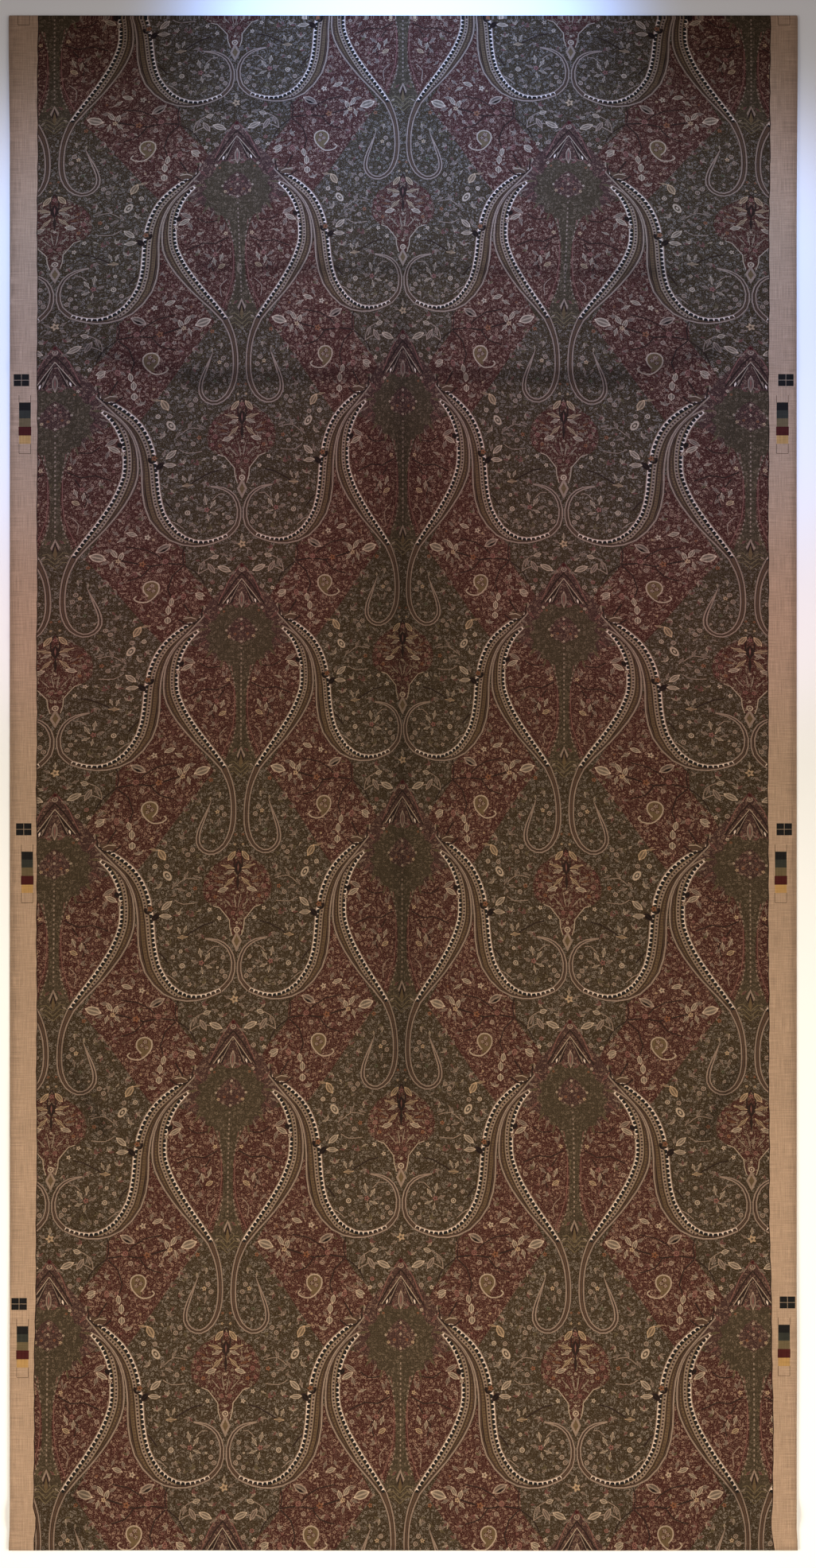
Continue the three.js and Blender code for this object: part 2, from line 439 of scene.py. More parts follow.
# Thin stems: ink, width, and the places they run through
STEMS = (
    ("bark", 2.6, ((206, 326), (176, 322), (150, 326), (118, 316), (92, 308))),
    ("bark", 2.2, ((204, 328), (186, 346), (178, 372), (186, 396))),
    ("bark", 2.2, ((206, 328), (228, 346), (238, 366))),
    ("bark", 2.0, ((204, 324), (202, 306), (206, 290))),
    ("bark", 2.0, ((176, 322), (160, 304), (140, 292), (112, 286))),
    ("bark", 2.0, ((150, 326), (136, 344), (112, 352))),
    ("dust", 1.6, ((228, 346), (246, 336), (268, 338))),
    ("dust", 1.4, ((228, 346), (232, 326), (250, 314))),
    ("bark", 2.6, ((132, 183), (146, 190), (160, 196), (176, 208), (186, 222))),
    ("bark", 2.4, ((148, 154), (160, 145), (172, 132))),
    ("bark", 2.4, ((206, 182), (222, 170), (246, 156), (262, 152))),
    ("dust", 1.4, ((176, 240), (190, 246), (204, 258))),
    ("bark", 2.2, ((18, 138), (40, 150), (62, 148), (88, 160))),
    ("bark", 2.0, ((46, 205), (52, 186), (40, 168), (30, 152))),
    ("bark", 2.0, ((70, 96), (56, 106), (36, 104))),
    ("dust", 1.4, ((24, 222), (36, 236), (34, 256))),
    ("bark", 2.6, ((62, -4), (80, 24), (84, 2), (98, -22))),
    ("rose", 1.4, ((0, -97), (11, -82), (22, -64), (30, -44), (39, -24))),
    ("bark", 2.4, ((0, -78), (14, -60), (26, -40), (40, -16))),
    ("dust", 1.4, ((198, 84), (214, 72), (236, 76))),
    ("dust", 1.4, ((234, 116), (210, 118), (196, 110))),
    ("dust", 1.4, ((272, 196), (262, 196), (252, 206))),
    ("bark", 2.2, ((0, 446), (7, 462), (6, 486))),
    ("tan", 1.6, ((8, 602), (12, 588), (13, 574), (22, 562), (30, 552), (41, 548))),
    ("rose", 1.3, ((17, 104), (12, 136), (11, 190), (14, 222), (22, 248), (33, 276))),
)

# Larger motifs, charted one by one: ink, kind, across, down, turn, length, width
MOTIFS = (
    # about the crown and the horns
    ("tan", LEAF, 72, -34, 143, 17, 9),
    ("olive", LEAF, 74, -54, 8, 19, 7),
    ("dust", LEAF, 92, -46, -50, 11, 5),
    ("rose", RING, 98, -37, 80, 13, 9),
    ("dust", FLORET, 47, -34, 0, 6, 6),
    ("rose", RING, 50, -62, 0, 8, 8),
    ("dust", RING, 0, -85, 0, 11, 11),
    ("rose", FLORET, 115, -38, 0, 7, 7),
    ("tan", LEAF, 123, -11, -90, 18, 10),
    ("dust", LEAF, 114, -3, -140, 11, 5),
    ("dust", LEAF, 132, -3, -40, 11, 5),
    ("tan", LEAF, 124, 9, 90, 14, 12),
    ("tan", FLORET, 36, -9, 0, 7, 7),
    ("ochre", LEAF, 173, 28, 60, 24, 13),
    ("ochre", LEAF, 159, 18, 190, 17, 5),
    ("tan", RING, 162, 48, 0, 9, 9),
    ("tan", RING, 183, 66, 55, 22, 13),
    ("dust", LEAF, 194, 84, 120, 14, 7),
    ("dust", LEAF, 214, 66, -60, 15, 7),
    ("dust", LEAF, 232, 70, 20, 14, 6),
    ("dust", LEAF, 206, 92, 20, 15, 7),
    # the sprig that breaks the outer band
    ("bark", LEAF, 165, 139, 135, 20, 12),
    ("tan", LEAF, 183, 119, -42, 24, 11),
    ("tan", LEAF, 181, 138, 4, 22, 9),
    ("dust", LEAF, 172, 116, -75, 14, 7),
    ("bark", LEAF, 150, 128, 60, 16, 9),
    ("rust", FLORET, 156, 124, 0, 11, 11),
    # the sprig that breaks the inner band
    ("dust", LEAF, 88, 90, 150, 24, 9),
    ("tan", LEAF, 92, 103, 30, 24, 10),
    ("dust", LEAF, 82, 112, 110, 18, 8),
    ("bark", LEAF, 101, 96, 60, 14, 9),
    ("tan", FLORET, 106, 112, 0, 8, 8),
    # leaves and flowers in the scroll
    ("ochre", LEAF, 210, 177, -4, 19, 8),
    ("tan", LEAF, 204, 165, 70, 14, 7),
    ("tan", LEAF, 214, 163, 110, 14, 6),
    ("tan", LEAF, 240, 206, 80, 18, 8),
    ("tan", LEAF, 252, 214, 120, 18, 8),
    ("dust", LEAF, 232, 222, 20, 16, 7),
    ("rose", FLORET, 242, 224, 0, 11, 11),
    ("tan", LEAF, 254, 231, 200, 15, 7),
    ("dust", LEAF, 262, 224, 160, 14, 6),
    ("tan", LEAF, 244, 238, 260, 14, 6),
    ("tan", RING, 210, 228, 0, 10, 10),
    ("tan", RING, 207, 202, 0, 7, 7),
    ("dust", RING, 278, 240, 0, 9, 9),
    ("dust", RING, 279, 215, 0, 8, 8),
    ("dust", RING, 270, 257, 0, 8, 8),
    ("dust", RING, 194, 212, 0, 8, 8),
    ("dust", FLORET, 224, 262, 0, 9, 9),
    # leaves and flowers under the scroll
    ("dust", LEAF, 171, 293, -30, 30, 15),
    ("bark", LEAF, 172, 296, -30, 17, 5),
    ("tan", LEAF, 66, 303, 20, 30, 17),
    ("tan", LEAF, 92, 297, 60, 20, 9),
    ("tan", LEAF, 103, 304, 110, 19, 9),
    ("dust", LEAF, 84, 291, 10, 16, 8),
    ("dust", LEAF, 112, 296, 150, 16, 7),
    ("ochre", FLORET, 98, 312, 0, 10, 10),
    ("tan", LEAF, 88, 320, 105, 17, 8),
    ("tan", LEAF, 106, 320, 50, 17, 8),
    ("dust", LEAF, 77, 314, 160, 16, 7),
    ("dust", LEAF, 97, 329, 80, 15, 6),
    ("rose", RING, 174, 318, 0, 10, 10),
    ("rust", FLORET, 137, 321, 0, 13, 13),
    ("tan", FLORET, 145, 270, 0, 12, 12),
    ("tan", LEAF, 120, 262, 20, 20, 9),
    ("dust", LEAF, 130, 253, 70, 16, 7),
    ("tan", LEAF, 104, 272, 150, 18, 8),
    ("dust", LEAF, 95, 259, 40, 15, 7),
    ("dust", LEAF, 112, 250, 110, 13, 6),
    ("tan", LEAF, 184, 398, 100, 17, 9),
    ("dust", LEAF, 173, 392, 50, 13, 6),
    ("dust", LEAF, 196, 390, 140, 13, 6),
    # leaves on the green beside the crown
    ("tan", LEAF, 272, 338, 25, 26, 12),
    ("dust", LEAF, 250, 336, 60, 24, 10),
    ("dust", LEAF, 236, 330, 110, 16, 8),
    ("tan", LEAF, 256, 314, -20, 14, 9),
    ("dust", LEAF, 270, 310, 200, 13, 6),
    ("dust", LEAF, 230, 372, 50, 17, 8),
    ("tan", LEAF, 231, 386, 20, 18, 9),
    # the leafy cluster by the stem
    ("tan", LEAF, 32, 178, 70, 18, 8),
    ("tan", LEAF, 44, 186, 100, 17, 8),
    ("dust", LEAF, 54, 174, 140, 17, 7),
    ("ochre", LEAF, 32, 196, 30, 15, 9),
    ("dust", LEAF, 52, 194, 230, 14, 7),
    ("rose", FLORET, 42, 172, 0, 10, 10),
    ("tan", LEAF, 66, 128, 200, 15, 6),
    ("dust", LEAF, 78, 140, 60, 14, 6),
    ("dust", LEAF, 30, 120, 110, 13, 6),
    ("dust", LEAF, 62, 220, 130, 13, 6),
    # the feathers round the star
    ("rose", LEAF, 60, 4, -50, 22, 6),
    ("dust", LEAF, 72, 20, -24, 16, 5),
    ("olive", LEAF, 66, 30, 8, 20, 5),
    ("dust", LEAF, 76, 48, 28, 16, 4.4),
    ("rose", LEAF, 66, 58, 40, 18, 5),
    ("tan", LEAF, 70, 70, 24, 12, 4.4),
    ("olive", LEAF, 56, 80, 52, 20, 5),
    ("dust", LEAF, 45, 92, 66, 18, 4),
    ("olive", LEAF, 34, 101, 78, 18, 4.4),
    ("dust", LEAF, 25, 116, 84, 16, 3.6),
    # the diamond of dots on the star
    ("tan", FLORET, 0, 13, 0, 6, 6),
    ("rose", FLORET, 0, 22, 0, 5, 7),
    ("tan", FLORET, 0, 32, 0, 5, 6),
    ("rose", FLORET, 9, 27, 0, 4.6, 4.6),
    ("dust", FLORET, 20, 26, 0, 5, 5),
    ("tan", FLORET, 26, 34, 0, 5.4, 5.4),
    ("ochre", FLORET, 21, 46, 0, 7, 7),
    ("rust", FLORET, 11, 42, 0, 6, 6),
    ("dust", FLORET, 13, 53, 0, 4.6, 4.6),
    ("tan", FLORET, 0, 57, 0, 5.6, 5.6),
    ("dust", FLORET, 0, 70, 0, 4.2, 4.2),
    # inside the pendant
    ("dust", RING, 32, 372, 0, 9, 9),
    ("dust", LEAF, 36, 398, 80, 15, 6),
    ("dust", FLORET, 30, 414, 0, 7, 7),
    ("moss", FLORET, 46, 414, 0, 8, 8),
    ("dust", LEAF, 48, 396, 120, 11, 5),
    ("dust", FLORET, 44, 432, 0, 7, 7),
    # the palmette
    ("rose", FLORET, 0, 458, 0, 9, 9),
    ("ochre", LEAF, 12, 460, 52, 22, 10),
    ("dust", LEAF, 25, 463, 34, 14, 3),
    ("ochre", LEAF, 18, 479, -16, 26, 8),
    ("tan", LEAF, 15, 489, 22, 19, 8),
    ("ochre", LEAF, 15, 507, 46, 27, 8),
    ("tan", LEAF, 25, 520, 18, 20, 9),
    ("dust", LEAF, 30, 499, -24, 17, 4),
    ("rust", LEAF, 33, 505, -12, 16, 4),
    ("dust", LEAF, 32, 511, 0, 14, 4),
    ("rust", LEAF, 38, 493, -34, 13, 4),
    ("rose", FLORET, 47, 490, 0, 7, 7),
    ("rose", FLORET, 52, 504, 0, 7, 7),
    ("rose", RING, 46, 515, 0, 9, 9),
    ("rose", FLORET, 51, 530, 0, 8, 8),
    ("rust", FLORET, 38, 532, 0, 8, 8),
    ("dust", FLORET, 28, 538, 0, 5, 5),
    ("tan", LEAF, 4, 540, -80, 26, 2.6),
    ("rose", LEAF, 10, 541, -64, 26, 2.6),
    ("tan", LEAF, 16, 543, -50, 22, 2.6),
    ("tan", FLORET, 0, 525, 0, 6, 6),
    # the column under the palmette
    ("rose", RING, 7, 562, 0, 8, 8),
    ("tan", FLORET, 0, 579, 0, 6, 6),
    ("tan", RING, 0, 592, 0, 12, 12),
    # flowers on the mirror line between the scrolls and the crown
    ("ochre", FLORET, 0, 716, 0, 16, 16),
    ("dust", LEAF, 13, 712, -30, 13, 6),
    ("dust", LEAF, 12, 726, 30, 12, 6),
    ("tan", LEAF, 0, 702, -90, 13, 7),
    ("wine", FLORET, 0, 757, 0, 9, 9),
    ("dust", LEAF, 16, 772, 30, 15, 6),
)


# The small curled cone: where it stands and how far it leans
CONE_AT = (150.0, -54.0)
CONE_LEAN = math.radians(28)


def draw_cone(d):
    """The small curled cone: a pale curl round a dull body with three florets on it."""
    c, s = math.cos(CONE_LEAN), math.sin(CONE_LEAN)

    def turned(x, y):
        return CONE_AT[0] + x * c - y * s, CONE_AT[1] + x * s + y * c

    rim = [turned(*p) for p in (
        (-13, -2), (-10, -12), (0, -16), (10, -12), (13, -2), (11, 8), (15, 15), (4, 15), (-7, 9),
    )]
    d.add(rim, PLAIN, INKS["umber"])
    d.ribbon([(*turned(*p), 2.4) for p in (
        (11, 9), (13, -2), (9, -12), (0, -16), (-10, -12), (-14, -2), (-8, 9), (4, 16),
        (18, 18), (30, 10), (33, 1), (27, -1),
    )], PLAIN, "tan")
    for x, y, size in ((-4, -6, 8), (4, -3, 7), (-1, 4, 7)):
        d.shape(SQUARE_SHAPE, "dust", turned(x, y), 0, size, size, FLORET)


def draw_axis(d):
    """What stands on the mirror line itself, half of it on each side."""
    d.ribbon([(0, 78, 3.0), (0, 166, 3.0), (0, 254, 3.0)], DOTTED, "dust", 1)
    d.ribbon([(10, 150, 2.8), (14, 124, 2.8), (22, 98, 2.8)], DOTTED, "dust", 1)
    d.ribbon([(9, 222, 2.8), (13, 246, 2.8), (20, 270, 2.8)], DOTTED, "dust", 1)
    for row, (top, ink) in enumerate(((260, "dust"), (266, "bark"), (273, "umber"))):
        half = 7.5 - 2 * row
        d.add([(0, top), (half, top + 17), (0, top + 34 - 4 * row)], PLAIN, INKS[ink])
    for row in range(3):
        d.ribbon([(0, 300 + 9 * row, 1.6), (12, 288 + 9 * row, 1.6), (20, 290 + 9 * row, 1.6)],
                 PLAIN, "olive", 1)
    # the wedges of the crown, a pale tooth at the foot of each, and the almond between
    d.add([(0, -66), (8, -56), (33, -19), (17, -19)], PLAIN, INKS["bark"])
    d.ribbon([(0, -67, 1.4), (16, -44, 1.4), (33, -19, 1.4)], PLAIN, "tan", 1)
    d.ribbon([(4, -57, 1.2), (13, -38, 1.2), (21, -20, 1.2)], PLAIN, "dust", 1)
    d.shape(SLIM_SHAPE, "cream", (24, -23), 75, 10, 3.6, PLAIN)
    d.shape(SLIM_SHAPE, "dust", (19, -29), 65, 10, 2.4, PLAIN)
    d.shape(LEAF_SHAPE, "dust", (0, -26), 90, 33, 10, LEAF)
    d.shape(SLIM_SHAPE, "rose", (0, -26), 90, 20, 3.6, PLAIN)
    # the dark bud that closes over the tip of the outer band
    d.add([(101, 7), (91, 15), (79, 15), (70, 4), (80, 2)], PLAIN, INKS["brown"])
    d.ribbon([(106, 8, 2.6), (94, 18, 3.0), (80, 18, 3.0), (69, 7, 2.6), (66, -14, 2.0)],
             PLAIN, "bark", 1)
    d.ribbon([(98, 7, 1.4), (86, 5, 1.8), (77, 9, 1.4)], PLAIN, "tan", 1)
    # the dark almond at the head of the palmette
    d.shape(LEAF_SHAPE, "bark", (0, 482), 90, 28, 13, PLAIN)
    d.shape(SLIM_SHAPE, "rose", (0, 481), 90, 16, 3, PLAIN)
    d.shape(SLIM_SHAPE, "bark", (0, 508), 90, 32, 6, PLAIN)
    # the diamond where the scrolls meet
    d.add([(0, 594), (9, 612), (0, 631)], PLAIN, INKS["dust"])
    d.add([(0, 602), (5, 612), (0, 622)], PLAIN, INKS["umber"])


# Small motifs: reach of each size, how many at most, and how often a place is tried
SCATTER_SIZES = ((8.5, 30, 500), (5.5, 40, 900), (3.4, 34, 2600))


def images(u, v, reach):
    """A small motif with the copies of it that come near the same half repeat."""
    copies = [(x, v, reach) for x in (u, -u, 2 * COLUMN - u)]
    for side in (-1, 1):
        copies += [(x, v + side * DROP, reach) for x in (COLUMN - u, COLUMN + u, u - COLUMN)]
        copies += [(x, v + 2 * side * DROP, reach) for x in (u, -u)]
    return copies


def scattered(rng):
    """Places of the small motifs that fill one half repeat: across, down, reach."""
    bands = np.concatenate([
        curve_values(rows, 5) for rows in (OUTER_BAND, SCROLL_HOOK, INNER_BAND, PENDANT)
    ])
    taken = [(u, v, max(length, width) * 0.42) for _, _, u, v, _, length, width in MOTIFS]
    taken += KEPT_CLEAR
    for _, _, line in STEMS:
        taken += [(u, v, 2.5) for u, v, _ in curve_values([(*p, 1) for p in line], 3)]
    everywhere = [image for u, v, reach in taken for image in images(u, v, reach)]
    for u, v, width in bands:
        everywhere += images(u, v, width / 2)
    near = np.array([
        p for p in everywhere if -30 < p[0] < COLUMN + 30 and -30 < p[1] < DROP + 30
    ])
    found = []
    for reach, wanted, tries in SCATTER_SIZES:
        count = 0
        for _ in range(tries):
            if count >= wanted:
                break
            u, v = rng.uniform(reach, COLUMN - reach), rng.uniform(0, DROP)
            gaps = np.hypot(near[:, 0] - u, near[:, 1] - v) - near[:, 2]
            if gaps.min() < reach:
                continue
            count += 1
            found.append((u, v, reach))
            near = np.concatenate([near, np.array(images(u, v, reach))])
    return found


LEAF_INKS = ("dust", "tan", "dust", "olive", "rose")
FLORET_INKS = ("dust", "tan", "rose", "rust", "dust", "ochre")


def spray(d, rng, middle, turns, away, length, width):
    """Small leaves that open like a fan, each a little away from the middle."""
    for turn in turns:
        at = (middle[0] + away * math.cos(math.radians(turn)),
              middle[1] + away * math.sin(math.radians(turn)))
        d.shape(SLIM_SHAPE, rng.choice(LEAF_INKS), at, turn, length, width, LEAF)


def draw_scatter(d, rng):
    """Leaves, florets and rings between the large motifs, by the room that each has."""
    for u, v, reach in scattered(rng):
        turn = rng.uniform(0, 360)
        if reach > 8:
            spray(d, rng, (u, v), (turn, turn + 52, turn + 104), 5.0, 10.5, 5.4)
        elif reach > 5:
            choice = rng.random()
            if choice < 0.5:
                spray(d, rng, (u, v), (turn - 38, turn + 38), 2.4, 9, 4.4)
            elif choice < 0.8:
                d.shape(SQUARE_SHAPE, rng.choice(FLORET_INKS), (u, v), turn, 9, 9, FLORET)
            else:
                d.shape(SQUARE_SHAPE, "dust", (u, v), turn, 9, 9, RING)
        elif rng.random() < 0.55:
            d.shape(SLIM_SHAPE, rng.choice(LEAF_INKS), (u, v), turn, 8.6, 4.0, LEAF)
        else:
            d.shape(SQUARE_SHAPE, rng.choice(FLORET_INKS), (u, v), turn, 5.4, 5.4, FLORET)


def half_repeat():
    """The print of one half repeat, to the right of a mirror line."""
    d = Drawing()
    rng = random.Random(11)
    draw_grounds(d)
    draw_scatter(d, rng)
    for ink, width, line in STEMS:
        d.ribbon([(*p, width) for p in line], PLAIN, ink, 1 if len(line) > 3 else 2)
    draw_cone(d)
    d.ribbon(PENDANT, PIPING, "tan", side=-1)
    d.ribbon(SCROLL_HOOK, PIPING, "tan")
    d.ribbon(INNER_BAND, BAND, "cream", side=-1)
    d.ribbon(OUTER_BAND, BAND, "cream")
    for ink, kind, u, v, turn, length, width in MOTIFS:
        outline = SQUARE_SHAPE if kind != LEAF else LEAF_SHAPE if width > 8 else SLIM_SHAPE
        d.shape(outline, ink, (u, v), turn, length, width, kind)
    draw_axis(d)
    return d


# The selvedges cover every shape that lies wholly further out than this in the print
HIDDEN_BEYOND = 638.0


def spread(tile, page):
    """The half repeat set down wherever it meets the page, mirrored and dropped."""
    low, high = page.min(0), page.max(0)
    columns = range(-3, 4)
    rows = range(-2, 11)
    places = [
        (COLUMN * k, DROP * j, side)
        for k in columns for j in rows if (k + j) % 2 == 1 for side in (1, -1)
    ]
    out = Drawing()
    for outline, local, kind, ink, ground in zip(
        tile.outlines, tile.maps, tile.kinds, tile.inks, tile.grounds
    ):
        for u0, v0, side in places:
            points = outline * (side, 1) + (u0, v0)
            if (points.max(0) < low).any() or (points.min(0) > high).any():
                continue
            if ground < 0 and (abs(points[:, 0]) > HIDDEN_BEYOND).all():
                continue
            back = np.array([[side, 0, -side * u0], [0, 1, -v0], [0, 0, 1]], float)
            out.add(points, kind, ink, local @ back, ground)
    return out


# Marks on the selvedges: middle of each crossed square on the left and on the right
REGISTER_MARKS = (
    (-704, 1528), (-701.6, 740), (-697.2, -85.5), (-706, -958),
    (706, 1528), (703, 740), (700.2, -85.5), (706, -955),
)
# Parts of a crossed square: half width, half height, ink
MARK_PARTS = ((14.2, 11.0, "navy"), (0.4, 13.0, "tan"), (16.2, 0.4, "tan"))

# Ink patches under each mark: ink, top and bottom below the mark, widening
INK_PATCHES = (
    ("navy", 40.9, 55.5, 0.0),
    ("forest", 55.5, 70.2, 0.0),
    ("olive", 70.2, 85.5, 0.0),
    ("wine", 85.5, 101.7, 0.9),
    ("mustard", 101.7, 116.9, 0.0),
)
PATCH_SIDES = (-4.4, 17.1)
FIRST_CELL = (27.8, 40.9)
LAST_CELL = (116.9, 134.5)
CELL_LINE = 0.9


# The borders: how far out and up they are painted, in what steps, and the dark line
# along the edge of the print
BORDER_OUT = 770
BORDER_UP = 1450
BORDER_STEP = 20.0
DARK_LINE = 1.6


def draw_border(d, column, side):
    """One plain border, painted over the print from its wavy edge outwards."""
    y = np.arange(-BORDER_UP, BORDER_UP + 1, BORDER_STEP)
    edge = ease_through(FIELD_EDGES, column, y)
    edge = edge + 0.7 * np.sin(y * 0.11) + 0.6 * np.sin(y * 0.29 + 1)
    outside = np.stack([np.full_like(y, side * BORDER_OUT), y], 1)[::-1]
    dark = np.concatenate([np.stack([edge - side * DARK_LINE, y], 1), outside])
    plain = np.concatenate([np.stack([edge, y], 1), outside])
    d.add(cloth_to_print(dark), PLAIN, INKS["bark"])
    d.ground(cloth_to_print(plain), "linen")


def patch(d, x0, y0, x1, y1, ink):
    d.add(cloth_to_print([(x0, y0), (x1, y0), (x1, y1), (x0, y1)]), PLAIN, INKS[ink])


def draw_selvedges(d):
    """The plain borders and the printer's marks on them."""
    draw_border(d, 1, -1)
    draw_border(d, 2, 1)
    for x, y in REGISTER_MARKS:
        side = 1 if x < 0 else -1
        if y < HALF_LENGTH:
            for half_x, half_y, ink in MARK_PARTS:
                patch(d, x - half_x, y - half_y, x + half_x, y + half_y, ink)
        near, far = (x + side * s for s in PATCH_SIDES)
        for ink, top, bottom, wider in INK_PATCHES:
            if y - bottom < HALF_LENGTH:
                patch(d, near - side * wider, y - bottom, far + side * wider, y - top, ink)
        for (top, bottom), is_open in ((FIRST_CELL, True), (LAST_CELL, False)):
            if y - bottom > HALF_LENGTH:
                continue
            for line in (near, far):
                patch(d, line - CELL_LINE / 2, y - bottom, line + CELL_LINE / 2, y - top, "brown")
            if not is_open:
                patch(d, min(near, far), y - bottom - CELL_LINE, max(near, far), y - bottom, "brown")


def inside_of(outline, points):
    """Which of the points lie inside an outline."""
    x, y = points.T
    inside = np.zeros(len(points), bool)
    for (x0, y0), (x1, y1) in zip(outline, np.roll(outline, -1, 0)):
        if y0 != y1:
            crossed = (y0 > y) != (y1 > y)
            inside ^= crossed & (x < (x1 - x0) * (y - y0) / (y1 - y0) + x0)
    return inside


# Side of the squares by which triangles near a shape are found
SEARCH_CELL = 16.0


def triangulated(drawing, loose, near):
    """Triangles of the first shape of a drawing, cut along all the others. Gives the
    points, the triangles, and the topmost shape and ground at each triangle."""
    sizes = [len(outline) for outline in drawing.outlines]
    starts = np.cumsum([0] + sizes)
    verts = np.concatenate(drawing.outlines + [loose])
    edges = [
        (start + i, start + (i + 1) % size)
        for start, size in zip(starts, sizes) for i in range(size)
    ]
    out = delaunay_2d_cdt([Vector(p) for p in verts], edges, [], 0, near, False)
    points = np.array([tuple(p) for p in out[0]])
    triangles = np.array(out[2])
    centres = points[triangles].mean(1)
    low = verts.min(0)
    cells = ((centres - low) / SEARCH_CELL).astype(int)
    across = cells[:, 0].max() + 1
    keys = cells[:, 1] * across + cells[:, 0]
    order = np.argsort(keys, kind="stable")
    sorted_keys = keys[order]
    tops = np.full(len(triangles), -1)
    grounds = np.full(len(triangles), -1)
    for number, outline in enumerate(drawing.outlines):
        first = ((outline.min(0) - low) / SEARCH_CELL).astype(int)
        last = ((outline.max(0) - low) / SEARCH_CELL).astype(int)
        rows = np.arange(first[1], last[1] + 1) * across
        begins = np.searchsorted(sorted_keys, rows + first[0])
        ends = np.searchsorted(sorted_keys, rows + min(last[0], across - 1), side="right")
        near_by = np.concatenate([order[a:b] for a, b in zip(begins, ends)])
        found = near_by[inside_of(outline, centres[near_by])]
        tops[found] = number
        if drawing.grounds[number] >= 0:
            grounds[found] = number
    on_page = inside_of(drawing.outlines[0], centres)
    used, triangles = np.unique(triangles[on_page], return_inverse=True)
    return points[used], triangles.reshape(-1, 3), tops[on_page], grounds[on_page]


def sparse_places(points, low, high, spacing):
    """Middles of the squares of a grid in which no point lies."""
    counts = np.ceil((high - low) / spacing).astype(int)
    squares = np.zeros(counts, bool)
    at = np.clip(((points - low) / spacing).astype(int), 0, counts - 1)
    squares[at[:, 0], at[:, 1]] = True
    empty = np.argwhere(~squares)
    return low + (empty + 0.5) * spacing


# Points along each side and each end of the upper layer
EDGE_POINTS = 150
END_POINTS = 70


def page_outline():
    """Outline of the upper layer on the cloth, from the fold down and back up."""
    heights = np.linspace(FOLD_START, -HALF_LENGTH, EDGE_POINTS)
    left, right = edge_lines(heights)
    across = np.linspace(0, 1, END_POINTS)[1:-1]
    bottom = left[-1] + (right[-1] - left[-1]) * across
    head = right[0] + (left[0] - right[0]) * across
    return np.concatenate([
        np.stack([left, heights], 1),
        np.stack([bottom, np.full_like(bottom, -HALF_LENGTH)], 1),
        np.stack([right, heights], 1)[::-1],
        np.stack([head, np.full_like(head, FOLD_START)], 1),
    ])


class Sheet:
    """The sheet's points and faces, with what the material reads of them and their bake map."""

    def __init__(self):
        self.points = []
        self.flats = []
        self.crease_shade = []
        self.count = 0
        self.faces = []
        self.values = {"kind": [], "ground": [], "ink": []}
        self.corners = {"place": [], "map": []}

    def add_points(self, points, flats=None, crease_shade=0.0):
        """Adds points and gives their numbers. flats are their places in the print, and the third
        value is how much painted shade along the creases darkens them."""
        points = np.asarray(points, float)
        self.points.append(points)
        self.flats.append(points[:, :2] if flats is None else np.asarray(flats, float))
        self.crease_shade.append(np.broadcast_to(crease_shade, len(points)))
        start = self.count
        self.count += len(points)
        return np.arange(start, self.count)

    def add_faces(self, faces, maps, ground, kind=BARE, ink=(0, 0, 0), places=None):
        """Adds faces of one size. ground, kind and ink are one for all, or one each."""
        faces = np.asarray(faces)
        n, sides = faces.shape
        self.faces.append(faces)
        self.values["ground"].append(np.broadcast_to(ground, n))
        self.values["kind"].append(np.broadcast_to(kind, n))
        self.values["ink"].append(np.broadcast_to(ink, (n, 3)))
        places = np.zeros((n, sides, 3)) if places is None else places
        self.corners["place"].append(places.reshape(-1, 3))
        self.corners["map"].append(np.asarray(maps, float).reshape(-1, 2))

    def build(self, name):
        """One Blender mesh of everything added."""
        points = np.concatenate(self.points) * MM
        corners = np.concatenate([f.ravel() for f in self.faces])
        sizes = np.concatenate([np.full(len(f), f.shape[1]) for f in self.faces])
        mesh = bpy.data.meshes.new(name)
        mesh.vertices.add(len(points))
        mesh.vertices.foreach_set("co", points.ravel())
        mesh.loops.add(len(corners))
        mesh.loops.foreach_set("vertex_index", corners.astype(np.int32))
        mesh.polygons.add(len(sizes))
        starts = np.concatenate([[0], np.cumsum(sizes)[:-1]])
        mesh.polygons.foreach_set("loop_start", starts.astype(np.int32))
        mesh.update(calc_edges=True)
        mesh.validate()
        mesh.polygons.foreach_set("use_smooth", np.ones(len(sizes), bool))
        values = {key: np.concatenate(parts) for key, parts in self.values.items()}
        grounds = np.array([GROUNDS[name][0] for name in GROUND_NAMES])
        stipples = np.array([GROUNDS[name][1] for name in GROUND_NAMES])
        number = values["ground"].astype(int)
        attribute(mesh, "kind", "FLOAT", "FACE", values["kind"])
        attribute(mesh, "ink", "FLOAT_VECTOR", "FACE", values["ink"])
        attribute(mesh, "ground", "FLOAT_VECTOR", "FACE", grounds[number])
        attribute(mesh, "stipple", "FLOAT_VECTOR", "FACE", stipples[number])
        attribute(mesh, "place", "FLOAT_VECTOR", "CORNER", np.concatenate(self.corners["place"]))
        flats = np.concatenate(self.flats)
        flats = np.concatenate([flats, np.zeros((len(flats), 1))], 1)
        attribute(mesh, "flat", "FLOAT_VECTOR", "POINT", flats)
        # painted shade along the creases, which the material reads
        attribute(mesh, "crease_shade", "FLOAT", "POINT", np.concatenate(self.crease_shade))
        bake_map = mesh.uv_layers.new(name="OFBake")
        bake_map.data.foreach_set("uv", np.concatenate(self.corners["map"]).ravel())
        return mesh


def attribute(mesh, name, kind, domain, values):
    layer = mesh.attributes.new(name, kind, domain)
    values = np.ascontiguousarray(values, np.float32).ravel()
    layer.data.foreach_set("value" if kind == "FLOAT" else "vector", values)


